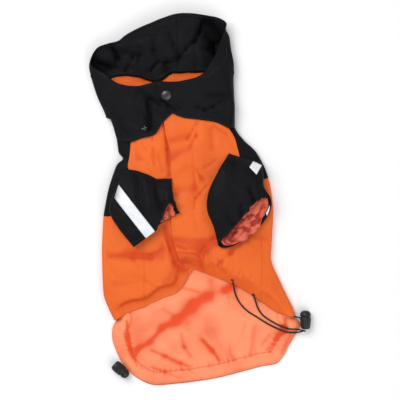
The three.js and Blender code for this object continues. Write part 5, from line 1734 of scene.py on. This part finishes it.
# ---- Stitches and eyelets ----
# Lockstitched polyester thread: topstitching along the lap, seams, hems, cuffs and tape, a bar tack on the collar,
# and a worked eyelet where each end of the drawcord leaves the hem. Dashes are drawn a little thicker than thread.
STITCH_PITCH = 2.6
STITCH_LENGTH = 1.9
THREAD_WIDTH = 0.42
STITCH_PROUD = 0.06
LAP_STITCH_IN = 2.4
SEAM_STITCH_IN = 1.6
HEM_STITCH_IN = 13.2
# The stretches of the front that are stitched: from and to, up the lap and the seams, and across the hems.
LAP_STITCHED = (-70, 84)
SEAM_RIGHT_STITCHED = (-106, -50)
SEAM_LEFT_STITCHED = (-112, -50)
HEM_LEFT_TO = -22
HEM_RIGHT_TO = 70
# The lining's stitched line shows below this, and within this distance of a place on the coat's middle line.
LINING_STITCHED_BELOW = -122
LINING_STITCHED_WITHIN = 190
LINING_MIDDLE_Y = -60
# The rows of the grids that are stitched, counted from the armhole, the neck and the tape's edge.
SLEEVE_STITCH_ROWS = (3, -4)
HOOD_STITCH_ROW = 3
HOOD_RIM_STITCH_AT = 0.86
TAPE_STITCH_ROWS = (1, -2)
EYELET_PLACES = {"long": (41.2, -88.6), "short": (64.4, -105.0)}
EYELET_RADIUS = 1.9
EYELET_HEIGHT = 0.9
EYELET_SUNK = 0.2
EYELET = [(0, 0.2), (0.42, 0.2), (0.5, 0.8), (0.7, 1), (0.9, 0.8), (1, 0.4), (1, 0), (0, 0)]
BAR_TACK = [[(-58, 77.4), (-52.6, 79.4)], [(-56, 81.6), (-54.4, 75.4)], [(-58.4, 76.6), (-57.2, 79.2)]]
THREAD_COLOURS = {"orange": "E05A16", "coral": "D9573A", "black": "26262B", "grey": "B9BBC2"}
# A turn of the plies every 0.9 mm along an axis.
PLY_SCALE = 700.0


def thread(name, colour):
    """Sewing thread: two plies twisted together, drawn as fine slanting bands."""
    made, tree, shader = material(name)
    place = node(tree, "ShaderNodeTexCoord").outputs["Object"]
    plies = node(tree, "ShaderNodeTexWave", {"Vector": place, "Scale": PLY_SCALE}, bands_direction="DIAGONAL")
    relief = node(tree, "ShaderNodeBump", {"Strength": 0.3, "Distance": 0.0001, "Height": plies.outputs["Fac"]})
    feed(tree, shader, {"Base Color": linear(colour), "Roughness": 0.55, "Normal": relief.outputs["Normal"]})
    return made


orange_thread, coral_thread, black_thread, grey_thread = (
    thread(f"{name}_polyester_thread", colour) for name, colour in THREAD_COLOURS.items()
)


def stitching_rule():
    """Geometry nodes that lay one dash of thread on every point, along its "along" and facing its "up"."""
    tree = bpy.data.node_groups.new("stitching", "GeometryNodeTree")
    for name, kind in (
        ("Geometry", "Geometry"), ("Stitch length", "Float"), ("Thread width", "Float"), ("Seed", "Int"),
        ("Thread", "Material"),
    ):  # fmt: skip
        tree.interface.new_socket(name, in_out="INPUT", socket_type=f"NodeSocket{kind}")
    tree.interface.new_socket("Geometry", in_out="OUTPUT", socket_type="NodeSocketGeometry")
    given = node(tree, "NodeGroupInput").outputs
    ball = node(tree, "GeometryNodeMeshUVSphere", {"Segments": 6, "Rings": 4, "Radius": 0.5})
    size = node(
        tree, "ShaderNodeCombineXYZ",
        {"X": given["Thread width"], "Y": given["Thread width"], "Z": given["Stitch length"]},
    )  # fmt: skip
    dash = node(
        tree, "GeometryNodeTransform",
        {"Geometry": ball.outputs["Mesh"], "Rotation": (0, math.pi / 2, 0), "Scale": size.outputs[0]},
    )  # fmt: skip
    along, up = (
        node(tree, "GeometryNodeInputNamedAttribute", {"Name": name}, data_type="FLOAT_VECTOR").outputs["Attribute"]
        for name in ("along", "up")
    )
    turn = node(
        tree, "FunctionNodeAxesToRotation", {"Primary Axis": up, "Secondary Axis": along},
        primary_axis="Z", secondary_axis="X",
    )  # fmt: skip
    # The random value's sockets 2 and 3 are the lowest and highest number, and 8 is the seed.
    uneven = node(tree, "FunctionNodeRandomValue", {2: 0.86, 3: 1.08, 8: given["Seed"]}, data_type="FLOAT")
    laid = node(
        tree, "GeometryNodeInstanceOnPoints",
        {
            "Points": given["Geometry"], "Instance": dash.outputs["Geometry"], "Rotation": turn.outputs["Rotation"],
            "Scale": uneven.outputs[1],
        },
    )  # fmt: skip
    real = node(tree, "GeometryNodeRealizeInstances", {"Geometry": laid.outputs["Instances"]})
    sewn = node(
        tree, "GeometryNodeSetMaterial", {"Geometry": real.outputs["Geometry"], "Material": given["Thread"]}
    )
    node(tree, "NodeGroupOutput", {"Geometry": sewn.outputs["Geometry"]})
    return tree


STITCHING = stitching_rule()


def stitched(name, colour, lines, seed):
    """One piece of stitching: a dash of thread at every pitch along lines of points with the way the cloth faces."""
    places, alongs, ups = [], [], []
    for points, facing in lines:
        share, length = shares(points)
        count = max(1, round(length / STITCH_PITCH))
        spots = (np.arange(count) + 0.5) / count
        half = STITCH_LENGTH / 2 / length
        here, ahead, behind, face = (
            np.stack([np.interp(np.clip(t, 0, 1), share, values[:, k]) for k in range(3)], -1)
            for t, values in ((spots, points), (spots + half, points), (spots - half, points), (spots, facing))
        )
        places.append(here + face * STITCH_PROUD)
        alongs.append(ahead - behind)
        ups.append(face)
    data = bpy.data.meshes.new(name)
    data.from_pydata((np.concatenate(places) * MM).tolist(), [], [])
    for key, values in (("along", alongs), ("up", ups)):
        layer = data.attributes.new(key, "FLOAT_VECTOR", "POINT")
        layer.data.foreach_set("vector", np.concatenate(values).astype(np.float32).ravel())
    made = new_object(name, data)
    rule = made.modifiers.new("stitching", "NODES")
    rule.node_group = STITCHING
    sockets = {item.name: item.identifier for item in STITCHING.interface.items_tree if item.in_out == "INPUT"}
    rule[sockets["Stitch length"]] = STITCH_LENGTH * MM
    rule[sockets["Thread width"]] = THREAD_WIDTH * MM
    rule[sockets["Seed"]] = seed
    rule[sockets["Thread"]] = colour
    bpy.context.view_layer.update()
    finished = made.evaluated_get(bpy.context.evaluated_depsgraph_get())
    mesh = bpy.data.meshes.new_from_object(finished)
    made.modifiers.clear()
    made.data = mesh
    mesh.polygons.foreach_set("use_smooth", [True] * len(mesh.polygons))
    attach(made, "root")
    return made


def inwards(line, reach, steps=300):
    """A flat line beside another one, to its left."""
    points = line(np.linspace(0, 1, steps))[:, :2]
    along = np.gradient(points, axis=0)
    left = np.stack([-along[:, 1], along[:, 0]], -1)
    return points + left / np.linalg.norm(left, axis=1, keepdims=True) * reach


def dropped(surface, points):
    """A flat line as it lies on a surface, and the way the surface faces along it."""
    places = [drop(surface, x, y) for x, y in points]
    return np.array([place for place, _ in places]), np.array([square for _, square in places])


def grid_line(grid, pick, out=1, closed=False):
    """A line of a grid, and the way the cloth faces along it."""
    square = normals_of(grid, closed) * out
    return grid[pick], square[pick]


def between(points, low_y, high_y):
    return points[(points[:, 1] >= low_y) & (points[:, 1] <= high_y)]


front_right_surface, front_left_surface = surface_of(front_right_grid), surface_of(front_left_grid)
lining_surface = surface_of(lining_grid)
hem_left_line = inwards(run(HEM_LEFT), HEM_STITCH_IN)
hem_right_line = inwards(run(HEM_RIGHT), HEM_STITCH_IN)
lining_line = inwards(hem_line, CASING)
from_middle = np.hypot(lining_line[:, 0], lining_line[:, 1] - LINING_MIDDLE_Y)
lining_line = lining_line[(lining_line[:, 1] < LINING_STITCHED_BELOW) & (from_middle < LINING_STITCHED_WITHIN)]
front_right_stitches = stitched(
    "front_right_stitching", orange_thread,
    [
        dropped(front_right_surface, between(inwards(lap_edge, LAP_STITCH_IN), *LAP_STITCHED)),
        dropped(front_right_surface, hem_right_line[hem_right_line[:, 0] < HEM_RIGHT_TO]),
        dropped(front_right_surface, between(inwards(run(SEAM_RIGHT), -SEAM_STITCH_IN), *SEAM_RIGHT_STITCHED)),
    ],
    seed=61,
)  # fmt: skip
front_left_stitches = stitched(
    "front_left_stitching", orange_thread,
    [
        dropped(front_left_surface, hem_left_line[hem_left_line[:, 0] < HEM_LEFT_TO]),
        dropped(front_left_surface, between(inwards(run(SEAM_LEFT), SEAM_STITCH_IN), *SEAM_LEFT_STITCHED)),
    ],
    seed=62,
)  # fmt: skip
lining_stitches = stitched(
    "back_lining_stitching", coral_thread, [dropped(lining_surface, lining_line)], seed=63
)
under_line = inwards(hem_back, CASING)
under_points = np.column_stack([under_line, back_lift(*under_line.T) + THREAD_WIDTH / 2])
back_stitches = stitched(
    "back_stitching", orange_thread,
    [(under_points, np.broadcast_to([0.0, 0.0, -1.0], under_points.shape))], seed=64,
)  # fmt: skip
hood_rim = int(round(HOOD_RIM_STITCH_AT * HOOD_ROWS))
# Each half is stitched along the rim and along the neck, over these stretches of its grid.
hood_left_stitches, hood_right_stitches = (
    stitched(
        f"hood_{side}_stitching", black_thread,
        [grid_line(grid, (rim, hood_rim), -1), grid_line(grid, (foot, HOOD_STITCH_ROW), -1)], seed=seed,
    )
    for side, grid, rim, foot, seed in (
        ("left", hood_left_grid, slice(0, 110), slice(0, 80), 65),
        ("right", hood_right_grid, slice(80, None), slice(95, None), 66),
    )
)  # fmt: skip
collar = surface_of(hood_left_grid)
bar_tack = stitched(
    "collar_bar_tack", grey_thread,
    [dropped(collar, straight(np.array(a), b)(np.linspace(0, 1, 8))) for a, b in BAR_TACK], seed=67,
)  # fmt: skip
upper = slice(2, SLEEVE_AROUND // 2 - 2)
sleeve_left_stitches, sleeve_right_stitches = (
    stitched(
        f"sleeve_{side}_stitching", black_thread,
        [grid_line(grid, (upper, row), closed=True) for row in SLEEVE_STITCH_ROWS], seed=seed,
    )
    for side, grid, seed in (("left", sleeve_left_grid, 68), ("right", sleeve_right_grid, 69))
)  # fmt: skip
tape_stitches = stitched(
    "tape_sleeve_left_stitching", grey_thread,
    [grid_line(tape_left_grid, (slice(None), row), -1) for row in TAPE_STITCH_ROWS], seed=70,
)  # fmt: skip
for label, spot in EYELET_PLACES.items():
    seat, square = drop(front_right_surface, *spot)
    eyelet = turned(
        f"eyelet_{label}", EYELET, EYELET_RADIUS, EYELET_HEIGHT, seat - EYELET_SUNK * square, square, [black_thread]
    )
